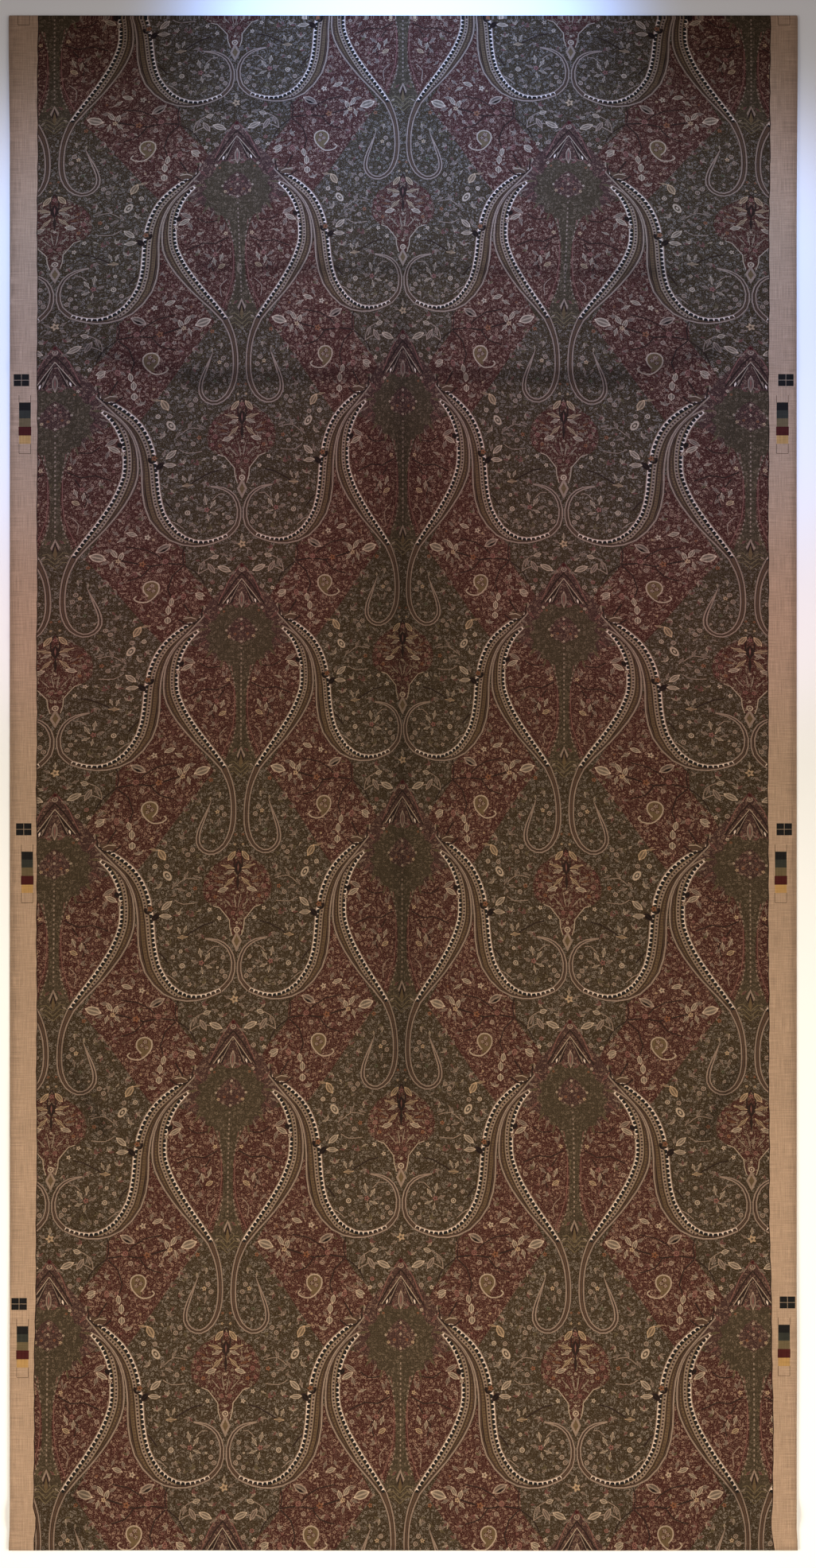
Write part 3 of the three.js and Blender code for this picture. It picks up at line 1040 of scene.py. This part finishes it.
def outer_loop(triangles):
    """The edge of a triangulated face, round it in order."""
    ahead = {}
    edges = {(a, b) for t in triangles for a, b in zip(t, (t[1], t[2], t[0]))}
    for a, b in edges:
        if (b, a) not in edges:
            ahead[a] = b
    first = next(iter(ahead))
    loop = [first]
    while ahead[loop[-1]] != first:
        loop.append(ahead[loop[-1]])
    if len(loop) != len(ahead):
        raise ValueError("the sheet's edge is not one loop")
    return np.array(loop)


def sides_of(loop, points):
    """The four sides of the loop, from the fold's left end down, along, up and back."""
    corners = [(-1, 1), (-1, -1), (1, -1), (1, 1)]
    at = points[loop]
    starts = [int(np.argmax(at @ c)) for c in corners]
    loop = np.roll(loop, -starts[0])
    starts = [(s - starts[0]) % len(loop) for s in starts] + [len(loop)]
    round_again = np.concatenate([loop, loop[:1]])
    return [round_again[a : b + 1] for a, b in zip(starts[:-1], starts[1:])]


# How far straight edges are curved out while a layer is cut into triangles
BULGE = 0.0005


def bulged(points):
    """Points moved out a little, so that no three on a straight edge lie in line."""
    x, y = np.asarray(points, float).reshape(-1, 2).T
    return np.stack([
        x * (1 + BULGE * (1 - (y / HALF_LENGTH) ** 2)),
        y * (1 + BULGE * (1 - (x / HALF_WIDTH) ** 2)),
    ], 1)


def filled(outline, loose, field=()):
    """Triangles inside an outline with loose points in it, numbered as they come, and
    whether each lies in a field marked out by the last points."""
    outline, loose, corners = (bulged(part) for part in (outline, loose, field))
    verts = np.concatenate([outline, loose, corners])
    edges = []
    for start, count in ((0, len(outline)), (len(verts) - len(field), len(field))):
        edges += [(start + i, start + (i + 1) % count) for i in range(count)]
    out = delaunay_2d_cdt([Vector(p) for p in verts], edges, [], 0, 1e-7, True)
    triangles = np.array([origin[0] for origin in out[3]])[np.array(out[2])]
    centres = verts[triangles].mean(1)
    kept = inside_of(outline, centres)
    count = len(outline)
    for a, b in ((0, 1), (1, 2), (2, 0)):
        outward = (triangles[:, a] - triangles[:, b]) % count == 1
        kept &= ~(outward & (triangles[:, a] < count) & (triangles[:, b] < count))
    in_field = inside_of(corners, centres) if len(corners) else kept & False
    return triangles[kept], in_field[kept]


def grid(low, high, spacing):
    counts = np.ceil((np.array(high) - low) / spacing).astype(int)
    xs, ys = (low[i] + (high[i] - low[i]) * (np.arange(counts[i]) + 0.5) / counts[i] for i in (0, 1))
    return np.stack(np.meshgrid(xs, ys), -1).reshape(-1, 2)


# Shares of the bake map: the printed face takes nearly all of it
MAP_MARGIN = 0.003
TOP_SHARE = 0.93
STRIPS = {"under": 0.938, "fold": 0.947, "inner": 0.956, "outer": 0.971, "rim": 0.986}
STRIP_WIDTHS = {"under": 0.006, "fold": 0.006, "inner": 0.012, "outer": 0.012, "rim": 0.004}
# Where the lower layer's printed field ends on each side. A strip gives the plain margins
# more room than the cloth between them.
FIELD_LEFT, FIELD_RIGHT = -674, 672
STRIP_PLACES = ((-HALF_WIDTH, 0.0), (FIELD_LEFT, 0.4), (FIELD_RIGHT, 0.6), (HALF_WIDTH, 1.0))


def top_map(xy):
    return np.stack([
        MAP_MARGIN + TOP_SHARE * (xy[..., 0] + HALF_WIDTH) / (2 * HALF_WIDTH),
        MAP_MARGIN + (1 - 2 * MAP_MARGIN) * (xy[..., 1] + HALF_LENGTH) / (2 * HALF_LENGTH),
    ], -1)


def strip_map(xy, strip):
    flat = top_map(xy)
    share = np.interp(xy[..., 0], *zip(*STRIP_PLACES))
    flat[..., 0] = STRIPS[strip] + STRIP_WIDTHS[strip] * share
    return flat


LINEN, REVERSE = (GROUND_NAMES.index(name) for name in ("linen", "reverse"))

# How finely the sheet is cut, in millimetres or in points to a side
LOOSE_SPACING = 15.0
WELD = 0.05
FOLD_COLUMNS = 40
INNER_SPACING = 36.0
INNER_MARGIN = (14, 10)
LOWER_SPACING = 90.0
LOWER_MARGIN = (60, 40)
LOWER_SIDE_POINTS = 34
LOWER_END_POINTS = 18

# The crumpled lower corners, where the reverse is cut as finely as the print
CRUMPLED = ((-715, -600), (595, 710))
CRUMPLED_TOP = -1270
CRUMPLED_BOTTOM = 6 - HALF_LENGTH
CRUMPLED_SPACING = 9.0

# The part of the lower layer that is printed
LOWER_FIELD = (
    (FIELD_LEFT, FOLD_START - 2), (FIELD_LEFT, 3 - HALF_LENGTH),
    (FIELD_RIGHT, 3 - HALF_LENGTH), (FIELD_RIGHT, FOLD_START - 2),
)


def inner_grid(margin, spacing):
    """Loose points over the whole sheet, but for a margin."""
    low = (margin[0] - HALF_WIDTH, margin[1] - HALF_LENGTH)
    return grid(low, (HALF_WIDTH - margin[0], FOLD_START - margin[1]), spacing)


def printed_face(sheet):
    """The printed face of the upper layer, cut along the print."""
    page = cloth_to_print(page_outline())
    drawing = Drawing()
    drawing.ground(page, "green")
    drawing.take(spread(half_repeat(), page))
    draw_selvedges(drawing)
    drawn = np.concatenate(drawing.outlines)
    loose = sparse_places(drawn, page.min(0), page.max(0), LOOSE_SPACING)
    flat, triangles, tops, grounds = triangulated(drawing, loose, WELD)
    xy = print_to_cloth(flat)
    face = SimpleNamespace(flat=flat, xy=xy, triangles=triangles[:, ::-1])
    face.maps = np.array(drawing.maps)[tops]
    face.kinds = np.array(drawing.kinds)[tops]
    face.inks = np.array(drawing.inks)[tops]
    face.grounds = np.array(drawing.grounds)[grounds]
    points = np.column_stack([xy, upper_height(*xy.T)])
    # the print's points, with the painted shade along the creases
    face.numbers = sheet.add_points(points, flat, painted_crease_shade(*xy.T))
    corners = np.concatenate([flat[face.triangles], np.ones((*triangles.shape, 1))], -1)
    places = np.einsum("fij,fcj->fci", face.maps, corners)
    sheet.add_faces(face.triangles, top_map(xy[face.triangles]), face.grounds, face.kinds,
                    face.inks, places)
    return face


def reverse_face(sheet, face, rim, head):
    """The reverse of the upper layer. Gives the numbers of its points round the rim and
    along the fold, and where the last lie across the cloth."""
    columns = np.linspace(*face.xy[head[[0, -1]]], FOLD_COLUMNS)
    outline = np.concatenate([face.xy[rim], columns[-2:0:-1]])
    inside = np.concatenate([inner_grid(INNER_MARGIN, INNER_SPACING)] + [
        grid((low, CRUMPLED_BOTTOM), (high, CRUMPLED_TOP), CRUMPLED_SPACING)
        for low, high in CRUMPLED
    ])
    faces = filled(outline, inside)[0][:, ::-1]
    xy = np.concatenate([outline, inside])
    numbers = sheet.add_points(np.column_stack([xy, upper_height(*xy.T) - THICKNESS]))
    sheet.add_faces(numbers[faces], strip_map(xy[faces], "under"), REVERSE)
    under_rim = numbers[: len(rim)]
    between = numbers[len(rim) : len(outline)][::-1]
    row = np.concatenate([under_rim[:1], between, under_rim[-1:]])
    return under_rim, row, xy[row - numbers[0], 0]


def fold_points(x, step, radius, reach):
    """One row of points round the fold."""
    turn = math.pi * (1 - step / FOLD_STEPS)
    inset = LOWER_EDGE_DRIFT * step / FOLD_STEPS
    return np.column_stack([
        x * (1 - inset / HALF_WIDTH),
        np.full_like(x, FOLD_START + reach * math.sin(turn)),
        np.full_like(x, FOLD_MIDDLE - radius * math.cos(turn)),
    ])


def fold_faces(sheet, face, head, under_row, under_x):
    """The two faces round the fold. The print's last lines run on over the outer one.
    Gives the rows of points of both."""
    outer_rows, inner_rows = [face.numbers[head]], [under_row]
    for step in range(1, FOLD_STEPS + 1):
        outer = fold_points(face.xy[head, 0], step, FOLD_MIDDLE, FOLD_REACH)
        outer_rows.append(sheet.add_points(outer, face.flat[head]))
        inner = fold_points(under_x, step, LAYER_GAP / 2, FOLD_REACH - THICKNESS)
        inner_rows.append(sheet.add_points(inner))
    beside = {}
    for number, t in enumerate(face.triangles):
        for a, b in zip(t, (t[1], t[2], t[0])):
            beside[(a, b)] = number
    steps = list(zip(head[:-1], head[1:]))
    lines = [beside[(b, a)] for a, b in steps]
    places = np.array([
        [face.maps[n] @ (*face.flat[p], 1.0) for p in (a, b, b, a)]
        for n, (a, b) in zip(lines, steps)
    ])
    edge_map = top_map(np.array([[face.xy[p] for p in (a, b, b, a)] for a, b in steps]))
    for first, second in zip(outer_rows[:-1], outer_rows[1:]):
        quads = np.stack([first[:-1], first[1:], second[1:], second[:-1]], 1)
        sheet.add_faces(quads, edge_map, face.grounds[lines], face.kinds[lines],
                        face.inks[lines], places)
    across = np.stack([under_x[:-1], under_x[:-1], under_x[1:], under_x[1:]], 1)
    fold_map = strip_map(np.stack([across, np.full_like(across, FOLD_START)], -1), "fold")
    for first, second in zip(inner_rows[:-1], inner_rows[1:]):
        quads = np.stack([first[:-1], second[:-1], second[1:], first[1:]], 1)
        sheet.add_faces(quads, fold_map, REVERSE)
    return outer_rows, inner_rows


def lower_layer(sheet, outer_row, inner_row):
    """The lower layer, printed face down. Gives the numbers round the rim of each face."""
    edge = HALF_WIDTH - LOWER_EDGE_DRIFT
    down = np.linspace(FOLD_START, -HALF_LENGTH, LOWER_SIDE_POINTS)[1:]
    along = np.linspace(-edge, edge, LOWER_END_POINTS)[1:-1]
    rim = np.concatenate([
        np.stack([np.full_like(down, -edge), down], 1),
        np.stack([along, np.full_like(along, -HALF_LENGTH)], 1),
        np.stack([np.full_like(down, edge), down], 1)[::-1],
    ])
    inside = inner_grid(LOWER_MARGIN, LOWER_SPACING)
    rims = []
    for strip, row, height in (("outer", outer_row, 0.0), ("inner", inner_row, LOWER_TOP)):
        row_xy = np.concatenate(sheet.points)[row][:, :2]
        outline = np.concatenate([row_xy[:1], rim, row_xy[:0:-1]])
        spots = np.concatenate([outline, inside, LOWER_FIELD])
        faces, in_field = filled(outline, inside, LOWER_FIELD)
        new = np.concatenate([rim, inside, LOWER_FIELD])
        numbers = sheet.add_points(np.column_stack([new, np.full(len(new), height)]))
        order = np.concatenate([
            row[:1], numbers[: len(rim)], row[:0:-1], numbers[len(rim) :],
        ])
        faces = faces if strip == "inner" else faces[:, ::-1]
        grounds = np.where(in_field, REVERSE, LINEN)
        sheet.add_faces(order[faces], strip_map(spots[faces], strip), grounds)
        rims.append(np.concatenate([row[:1], numbers[: len(rim)], row[-1:]]))
    return rims


def edge_faces(sheet, outer, inner):
    """The woven or cut edge between two lines of points."""
    quads = np.stack([outer[1:], outer[:-1], inner[:-1], inner[1:]], 1)
    spots = np.zeros((len(quads), 4, 2))
    spots[:, :, 0] = STRIPS["rim"] + STRIP_WIDTHS["rim"] * np.array([0, 0, 1, 1])
    steps = np.linspace(MAP_MARGIN, 1 - MAP_MARGIN, len(quads) + 1)
    spots[:, (0, 3), 1] = steps[:-1, None]
    spots[:, (1, 2), 1] = steps[1:, None]
    sheet.add_faces(quads, spots, LINEN)


def cloth_mesh(name):
    """The doubled cloth as one closed sheet."""
    sheet = Sheet()
    face = printed_face(sheet)
    left, bottom, right, head = sides_of(outer_loop(face.triangles), face.xy)
    rim = np.concatenate([left, bottom[1:], right[1:]])
    head = head[::-1]
    under_rim, under_row, under_x = reverse_face(sheet, face, rim, head)
    outer_rows, inner_rows = fold_faces(sheet, face, head, under_row, under_x)
    lower_outer, lower_inner = lower_layer(sheet, outer_rows[-1], inner_rows[-1])
    edge_faces(sheet, face.numbers[rim], under_rim)
    edge_faces(sheet, lower_outer[::-1], lower_inner[::-1])
    for side, ahead in ((0, -1), (-1, 1)):
        outer = np.array([row[side] for row in outer_rows])[::ahead]
        inner = np.array([row[side] for row in inner_rows])[::ahead]
        edge_faces(sheet, outer, inner)
    return sheet.build(name)


class Nodes:
    """Short ways to add the nodes of one material."""

    def __init__(self, material):
        material.use_nodes = True
        self.tree = material.node_tree
        self.tree.nodes.clear()

    def link(self, socket, value):
        if isinstance(value, bpy.types.NodeSocket):
            self.tree.links.new(value, socket)
        else:
            socket.default_value = value

    def node(self, kind, values=(), out=0, **settings):
        node = self.tree.nodes.new(kind)
        for name, setting in settings.items():
            setattr(node, name, setting)
        for name, value in dict(values).items():
            self.link(node.inputs[name], value)
        return node.outputs[out]

    def math(self, operation, *values, clamp=False):
        return self.node("ShaderNodeMath", enumerate(values), operation=operation, use_clamp=clamp)

    def read(self, name, out="Vector"):
        return self.node("ShaderNodeAttribute", (), out, attribute_name=name)

    def parts(self, vector):
        node = self.tree.nodes.new("ShaderNodeSeparateXYZ")
        self.link(node.inputs[0], vector)
        return node.outputs

    def ramp(self, factor, stops, blend="CONSTANT"):
        node = self.tree.nodes.new("ShaderNodeValToRGB")
        self.link(node.inputs[0], factor)
        node.color_ramp.interpolation = blend
        while len(node.color_ramp.elements) < len(stops):
            node.color_ramp.elements.new(0.5)
        for element, (at, colour) in zip(node.color_ramp.elements, stops):
            element.position = at
            element.color = (*colour, 1)
        return node.outputs[0]

    def mix(self, factor, a, b, blend="MIX"):
        node = self.tree.nodes.new("ShaderNodeMix")
        node.data_type = "RGBA"
        node.blend_type = blend
        self.link(node.inputs["Factor"], factor)
        for socket, value in ((node.inputs[6], a), (node.inputs[7], b)):
            self.link(socket, (*value, 1) if isinstance(value, tuple) and len(value) == 3 else value)
        return node.outputs[2]

    def between(self, value, low, high, to_low=0.0, to_high=1.0):
        """A smooth step from one value to another."""
        return self.node("ShaderNodeMapRange", {
            "Value": value, "From Min": low, "From Max": high,
            "To Min": to_low, "To Max": to_high,
        }, interpolation_type="SMOOTHSTEP")

    def equals(self, value, number):
        return self.math("COMPARE", value, float(number), 0.5)

    def surface(self, values):
        """The material's surface, from the values of its shader's inputs."""
        shader = self.node("ShaderNodeBsdfPrincipled", values)
        out = self.tree.nodes.new("ShaderNodeOutputMaterial")
        self.link(out.inputs[0], shader)


# Sections of the great bands, in millimetres from the toothed edge and from the other
BAND_REACH = 32.0
BAND_SECTION = (
    (0.0, "brown"), (0.5, "dust"), (1.9, "cream"), (2.7, "navy"), (8.0, "umber"),
    (9.4, "dust"), (15.2, "umber"), (16.4, "bark"), (17.8, "brown"),
    (22.8, "umber"), (24.0, "bark"),
)
# Rows of beads on them: ink, way in from the toothed edge, half width, half period
BAND_BEADS = (("bark", 12.4, 1.6, 3.0), ("umber", 20.3, 1.8, 2.5))
RIM_REACH = 10.0
RIM_SECTION = ((0.0, "bark"), (0.6, "dust"), (3.4, "bark"), (4.6, "brown"), (5.8, "bark"))
RIM_WIDTH = 6.6
PIPING_REACH = 8.0
PIPING_SECTION = ((0.0, "bark"), (0.5, "dust"), (2.9, "bark"), (3.9, "brown"))
TOOTH_HALF_PERIOD = 4.3
TOOTH_ROOT, TOOTH_TIP = 2.7, 8.0


def section(nodes, distance, reach, stops):
    share = nodes.math("DIVIDE", distance, reach)
    return nodes.ramp(share, [(at / reach, INKS[ink]) for at, ink in stops])


def bead_row(nodes, along, away, at, half_width, half_period):
    """A row of square beads: 1 inside a bead."""
    wave = nodes.math("PINGPONG", along, half_period)
    here = nodes.between(wave, half_period * 0.40, half_period * 0.62)
    off = nodes.math("ABSOLUTE", nodes.math("SUBTRACT", away, at))
    return nodes.math("MULTIPLY", here, nodes.between(off, half_width + 0.4, half_width - 0.4))


def band_colour(nodes, along, near, far):
    colour = section(nodes, near, BAND_REACH, BAND_SECTION)
    for ink, at, half_width, half_period in BAND_BEADS:
        beads = bead_row(nodes, along, near, at, half_width, half_period)
        colour = nodes.mix(beads, colour, INKS[ink])
    rim = section(nodes, far, RIM_REACH, RIM_SECTION)
    colour = nodes.mix(nodes.math("LESS_THAN", far, RIM_WIDTH), colour, rim)
    wave = nodes.math("DIVIDE", nodes.math("PINGPONG", along, TOOTH_HALF_PERIOD), TOOTH_HALF_PERIOD)
    depth = nodes.between(near, TOOTH_ROOT, TOOTH_TIP, 0.62, 0.96)
    tooth = nodes.math("GREATER_THAN", wave, depth)
    tooth = nodes.math("MULTIPLY", tooth, nodes.math("LESS_THAN", near, TOOTH_TIP))
    tooth = nodes.math("MULTIPLY", tooth, nodes.math("GREATER_THAN", near, TOOTH_ROOT))
    return nodes.mix(tooth, colour, INKS["cream"])


def sprite_masks(nodes, x, y):
    """How much of a leaf, a floret and a ring covers each place of its shape, and how
    light the ink is there."""
    across = nodes.math("ABSOLUTE", y)
    leaf = nodes.math("MULTIPLY_ADD", x, x, across)
    leaf_cover = nodes.between(leaf, 1.04, 0.9)
    rib = nodes.between(across, 0.10, 0.22, 0.5, 0.0)
    edge = nodes.between(leaf, 0.55, 0.8)
    leaf_tone = nodes.math("ADD", nodes.math("MULTIPLY_ADD", edge, 0.8, 0.4), rib)
    radius = nodes.math("SQRT", nodes.math("MULTIPLY_ADD", x, x, nodes.math("MULTIPLY", y, y)))
    angle = nodes.math("ARCTAN2", y, x)
    wave = nodes.math("COSINE", nodes.math("MULTIPLY", angle, 5.0))
    reach = nodes.math("MULTIPLY_ADD", wave, 0.22, 0.74)
    floret_cover = nodes.between(nodes.math("DIVIDE", radius, reach), 1.05, 0.85)
    floret_tone = nodes.between(radius, 0.16, 0.42, 0.3, 1.15)
    ring = nodes.math("ABSOLUTE", nodes.math("SUBTRACT", radius, 0.72))
    ring_cover = nodes.math("MAXIMUM", nodes.between(ring, 0.24, 0.12),
                            nodes.between(radius, 0.34, 0.2))
    return (leaf_cover, leaf_tone), (floret_cover, floret_tone), (ring_cover, 1.1)


DOT_HALF_PERIOD = 4.3


def dots_along(nodes, along, near, far):
    """How much of a dotted line covers each place of its ribbon."""
    wave = nodes.math("PINGPONG", along, DOT_HALF_PERIOD)
    here = nodes.between(wave, DOT_HALF_PERIOD * 0.45, DOT_HALF_PERIOD * 0.7)
    inside = nodes.between(nodes.math("MINIMUM", near, far), 0.1, 0.6)
    return nodes.math("MULTIPLY", here, inside)


# The fine filling of the grounds: cells to a millimetre of the leaflets and of the grains
LEAFLET_CELLS = 0.15
GRAIN_CELLS = 0.40
LEAFLET_HALF = (3.4, 1.35)


def cells(nodes, spot, scale):
    node = nodes.tree.nodes.new("ShaderNodeTexVoronoi")
    node.voronoi_dimensions = "2D"
    nodes.link(node.inputs["Vector"], spot)
    nodes.link(node.inputs["Scale"], scale)
    return node.outputs


def ground_colour(nodes, flat, ground, stipple):
    """A ground with its fine filling: leaflets, rings and grains too small to draw."""
    wide = cells(nodes, flat, LEAFLET_CELLS)
    fine = cells(nodes, flat, GRAIN_CELLS)
    pick = nodes.parts(wide["Color"])
    away = nodes.node("ShaderNodeVectorMath", {0: flat, 1: wide["Position"]}, operation="SUBTRACT")
    turn = nodes.math("MULTIPLY", pick[0], 2 * math.pi)
    turned = nodes.node("ShaderNodeVectorRotate", {"Vector": away, "Angle": turn},
                        rotation_type="Z_AXIS")
    x, y, _ = nodes.parts(turned)
    x = nodes.math("DIVIDE", x, LEAFLET_HALF[0])
    y = nodes.math("DIVIDE", nodes.math("ABSOLUTE", y), LEAFLET_HALF[1])
    leaf = nodes.math("MULTIPLY_ADD", x, x, y)
    ring = nodes.math("ABSOLUTE", nodes.math("MULTIPLY_ADD", wide["Distance"], 3.0, -0.85))
    ring = nodes.math("ADD", ring, 0.62)
    is_leaf = nodes.math("GREATER_THAN", pick[1], 0.25)
    shape = nodes.node("ShaderNodeMix", {0: is_leaf, 2: ring, 3: leaf})
    cover = nodes.between(shape, 1.04, 0.84)
    cover = nodes.math("MULTIPLY", cover, nodes.between(pick[2], 0.1, 0.9, 0.1, 1.15))
    rib = nodes.between(y, 0.12, 0.26, 0.55, 1.0)
    cover = nodes.math("MULTIPLY", cover, rib)
    grains = nodes.math("MULTIPLY", nodes.between(fine["Distance"], 0.40, 0.16),
                        nodes.parts(fine["Color"])[0])
    grains = nodes.math("MULTIPLY", grains, nodes.between(shape, 1.0, 1.4))
    cover = nodes.math("MAXIMUM", cover, nodes.math("MULTIPLY", grains, 1.1))
    return nodes.mix(cover, ground, stipple)


# How much the painted shade darkens the print along a fully shaded crease, and how often to a metre
# the weave changes across its threads and along them
CREASE_SHADE_DEPTH = 0.36
THREADS = 750
SLUBS = 26


def linen_material():
    material = bpy.data.materials.new("printed_linen")
    nodes = Nodes(material)
    flat = nodes.read("flat")
    kind = nodes.read("kind", "Fac")
    x, y, z = nodes.parts(nodes.read("place"))
    ink = nodes.read("ink")

    # the print
    colour = ground_colour(nodes, flat, nodes.read("ground"), nodes.read("stipple"))
    cover = nodes.equals(kind, PLAIN)
    tone = cover
    for number, (shape_cover, shape_tone) in zip((LEAF, FLORET, RING), sprite_masks(nodes, x, y)):
        here = nodes.equals(kind, number)
        cover = nodes.math("MULTIPLY_ADD", here, shape_cover, cover)
        tone = nodes.math("MULTIPLY_ADD", here, shape_tone, tone)
    here = nodes.equals(kind, DOTTED)
    cover = nodes.math("MULTIPLY_ADD", here, dots_along(nodes, x, y, z), cover)
    tone = nodes.math("ADD", tone, here)
    toned = nodes.node("ShaderNodeVectorMath", {0: ink, "Scale": tone}, operation="SCALE")
    colour = nodes.mix(cover, colour, toned)
    colour = nodes.mix(nodes.equals(kind, BAND), colour, band_colour(nodes, x, y, z))
    piping = section(nodes, nodes.math("MINIMUM", y, z), PIPING_REACH, PIPING_SECTION)
    colour = nodes.mix(nodes.equals(kind, PIPING), colour, piping)

    # threads with slubs, and slow unevenness of the inks
    spot = nodes.node("ShaderNodeTexCoord", (), "Object")

    def noise(stretch, detail=0.0):
        place = nodes.node("ShaderNodeMapping", {"Vector": spot, "Scale": stretch})
        return nodes.node("ShaderNodeTexNoise", {"Vector": place, "Scale": 1.0, "Detail": detail},
                          "Fac")

    weave = nodes.math("ADD", noise((THREADS, SLUBS, 1)), noise((SLUBS, THREADS, 1)))
    shade = nodes.math("MULTIPLY_ADD", weave, 0.5, 0.5)
    uneven = nodes.math("MULTIPLY_ADD", noise((9, 9, 1), 2.0), 0.24, 0.88)
    shade = nodes.math("MULTIPLY", shade, uneven)
    # painted shade along the creases: the print is darker where shade falls in them
    crease_shading = nodes.math("MULTIPLY_ADD", nodes.read("crease_shade", "Fac"), -CREASE_SHADE_DEPTH, 1.0)
    shade = nodes.math("MULTIPLY", shade, crease_shading)
    colour = nodes.node("ShaderNodeVectorMath", {0: colour, "Scale": shade}, operation="SCALE")

    bump = nodes.node("ShaderNodeBump", {"Height": weave, "Strength": 0.35, "Distance": 0.0006})
    rough = nodes.between(weave, 0.6, 1.4, 0.94, 0.84)
    nodes.surface({
        "Base Color": colour, "Roughness": rough, "Normal": bump, "Specular IOR Level": 0.12,
    })
    return material


def placed(name, data):
    """A new object in the scene."""
    thing = bpy.data.objects.new(name, data)
    bpy.context.collection.objects.link(thing)
    return thing


def laid_cloth():
    mesh = cloth_mesh("linen_sheet")
    mesh.materials.append(linen_material())
    return placed("linen_sheet", mesh)


# The picture: how far the camera stands, and what of the cloth's plane it takes in
PICTURE = (1026, 1972)
CLOTH_MIDDLE = (507.0, 984.5)
MM_PER_PIXEL = 1.4617
CAMERA_HEIGHT = 6.8
CAMERA_REACH = 50
SENSOR = 36.0


def add_camera():
    data = bpy.data.cameras.new("camera")
    camera = placed("camera", data)
    x = (PICTURE[0] / 2 - CLOTH_MIDDLE[0]) * MM_PER_PIXEL * MM
    y = (CLOTH_MIDDLE[1] - PICTURE[1] / 2) * MM_PER_PIXEL * MM
    camera.location = (x, y, CAMERA_HEIGHT)
    data.sensor_fit = "VERTICAL"
    data.sensor_height = SENSOR
    data.lens = SENSOR * (CAMERA_HEIGHT - UPPER_TOP * MM) / (PICTURE[1] * MM_PER_PIXEL * MM)
    data.clip_end = CAMERA_REACH
    bpy.context.scene.camera = camera


# Warm lamps beside the cloth: place, aim, size, spread, and red, green and blue watts
SIDE_LAMP_AT = (2.4, -1.2, 2.8)
SIDE_LAMP_AIM = -1.3
SIDE_LAMP_SIZE = (3.0, 2.0)
SIDE_LAMP_SPREAD = 60
SIDE_LAMP_WATTS = (22.5, 20, 17.5)

# Cool lamps near the fold: place, aim on the cloth, half width and softness of the pool
# of light, and red, green and blue watts. One that is off the middle line is a pair.
WINDOW_LAMPS = (
    ((0, 2.0, 2.6), (0, 1.2), 0.55, 1.0, (160, 260, 475)),
    ((0, 2.0, 2.6), (0, 1.4), 0.45, 0.6, (70, 120, 335)),
    ((0.55, 1.4, 2.6), (0.55, 1.1), 0.30, 1.0, (50, 80, 115)),
    ((0.55, 1.0, 2.6), (0.55, 0.7), 0.65, 0.5, (64, 48, 92)),
    ((0.55, 1.1, 2.6), (0.55, 0.8), 0.50, 1.0, (10, 68, 167)),
)
ROOM_LIGHT = (0.30, 0.27, 0.30)


def add_lamp(name, kind, at, aim, watts, **settings):
    """A lamp turned towards a place on the cloth."""
    data = bpy.data.lights.new(name, kind)
    data.energy = max(watts)
    data.color = [part / data.energy for part in watts]
    for key, value in settings.items():
        setattr(data, key, value)
    lamp = placed(name, data)
    lamp.location = at
    lamp.rotation_euler = (Vector((*aim, 0)) - Vector(at)).to_track_quat("-Z", "Y").to_euler()


def add_light():
    for side in (-1, 1):
        at = (side * SIDE_LAMP_AT[0], *SIDE_LAMP_AT[1:])
        add_lamp("side_lamp", "AREA", at, (0, SIDE_LAMP_AIM), SIDE_LAMP_WATTS, shape="RECTANGLE",
                 size=SIDE_LAMP_SIZE[0], size_y=SIDE_LAMP_SIZE[1],
                 spread=math.radians(SIDE_LAMP_SPREAD))
    for at, aim, reach, blend, watts in WINDOW_LAMPS:
        width = 2 * math.atan2(reach, math.dist(at, (*aim, 0)))
        for side in (-1, 1) if at[0] else (1,):
            add_lamp("window_lamp", "SPOT", (side * at[0], *at[1:]), (side * aim[0], aim[1]),
                     watts, spot_size=width, spot_blend=blend, shadow_soft_size=0.1)
    world = bpy.data.worlds.new("soft_room")
    world.use_nodes = True
    world.node_tree.nodes["Background"].inputs[0].default_value = (*ROOM_LIGHT, 1)
    bpy.context.scene.world = world


# The floor reaches this far each way and lies a hair under the cloth
FLOOR_HALF = 9
FLOOR_DROP = 0.0003


def add_floor():
    mesh = bpy.data.meshes.new("floor")
    corners = [(x * FLOOR_HALF, y * FLOOR_HALF, 0) for x, y in SQUARE_SHAPE]
    mesh.from_pydata(corners, [], [(0, 1, 2, 3)])
    floor = placed("floor", mesh)
    floor.location.z = -FLOOR_DROP
    material = bpy.data.materials.new("pale_floor")
    nodes = Nodes(material)
    cloud = nodes.node("ShaderNodeTexNoise", {"Scale": 3.0}, "Fac")
    colour = nodes.ramp(cloud, [(0.3, (0.86, 0.88, 0.80)), (0.7, (0.90, 0.92, 0.84))], "LINEAR")
    nodes.surface({"Base Color": colour, "Roughness": 0.85})
    mesh.materials.append(material)
    return floor


add_camera()
add_light()
add_floor()
linen_sheet = laid_cloth()
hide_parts("cloth")
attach(linen_sheet, "root")
bpy.context.scene.view_settings.view_transform = "Standard"
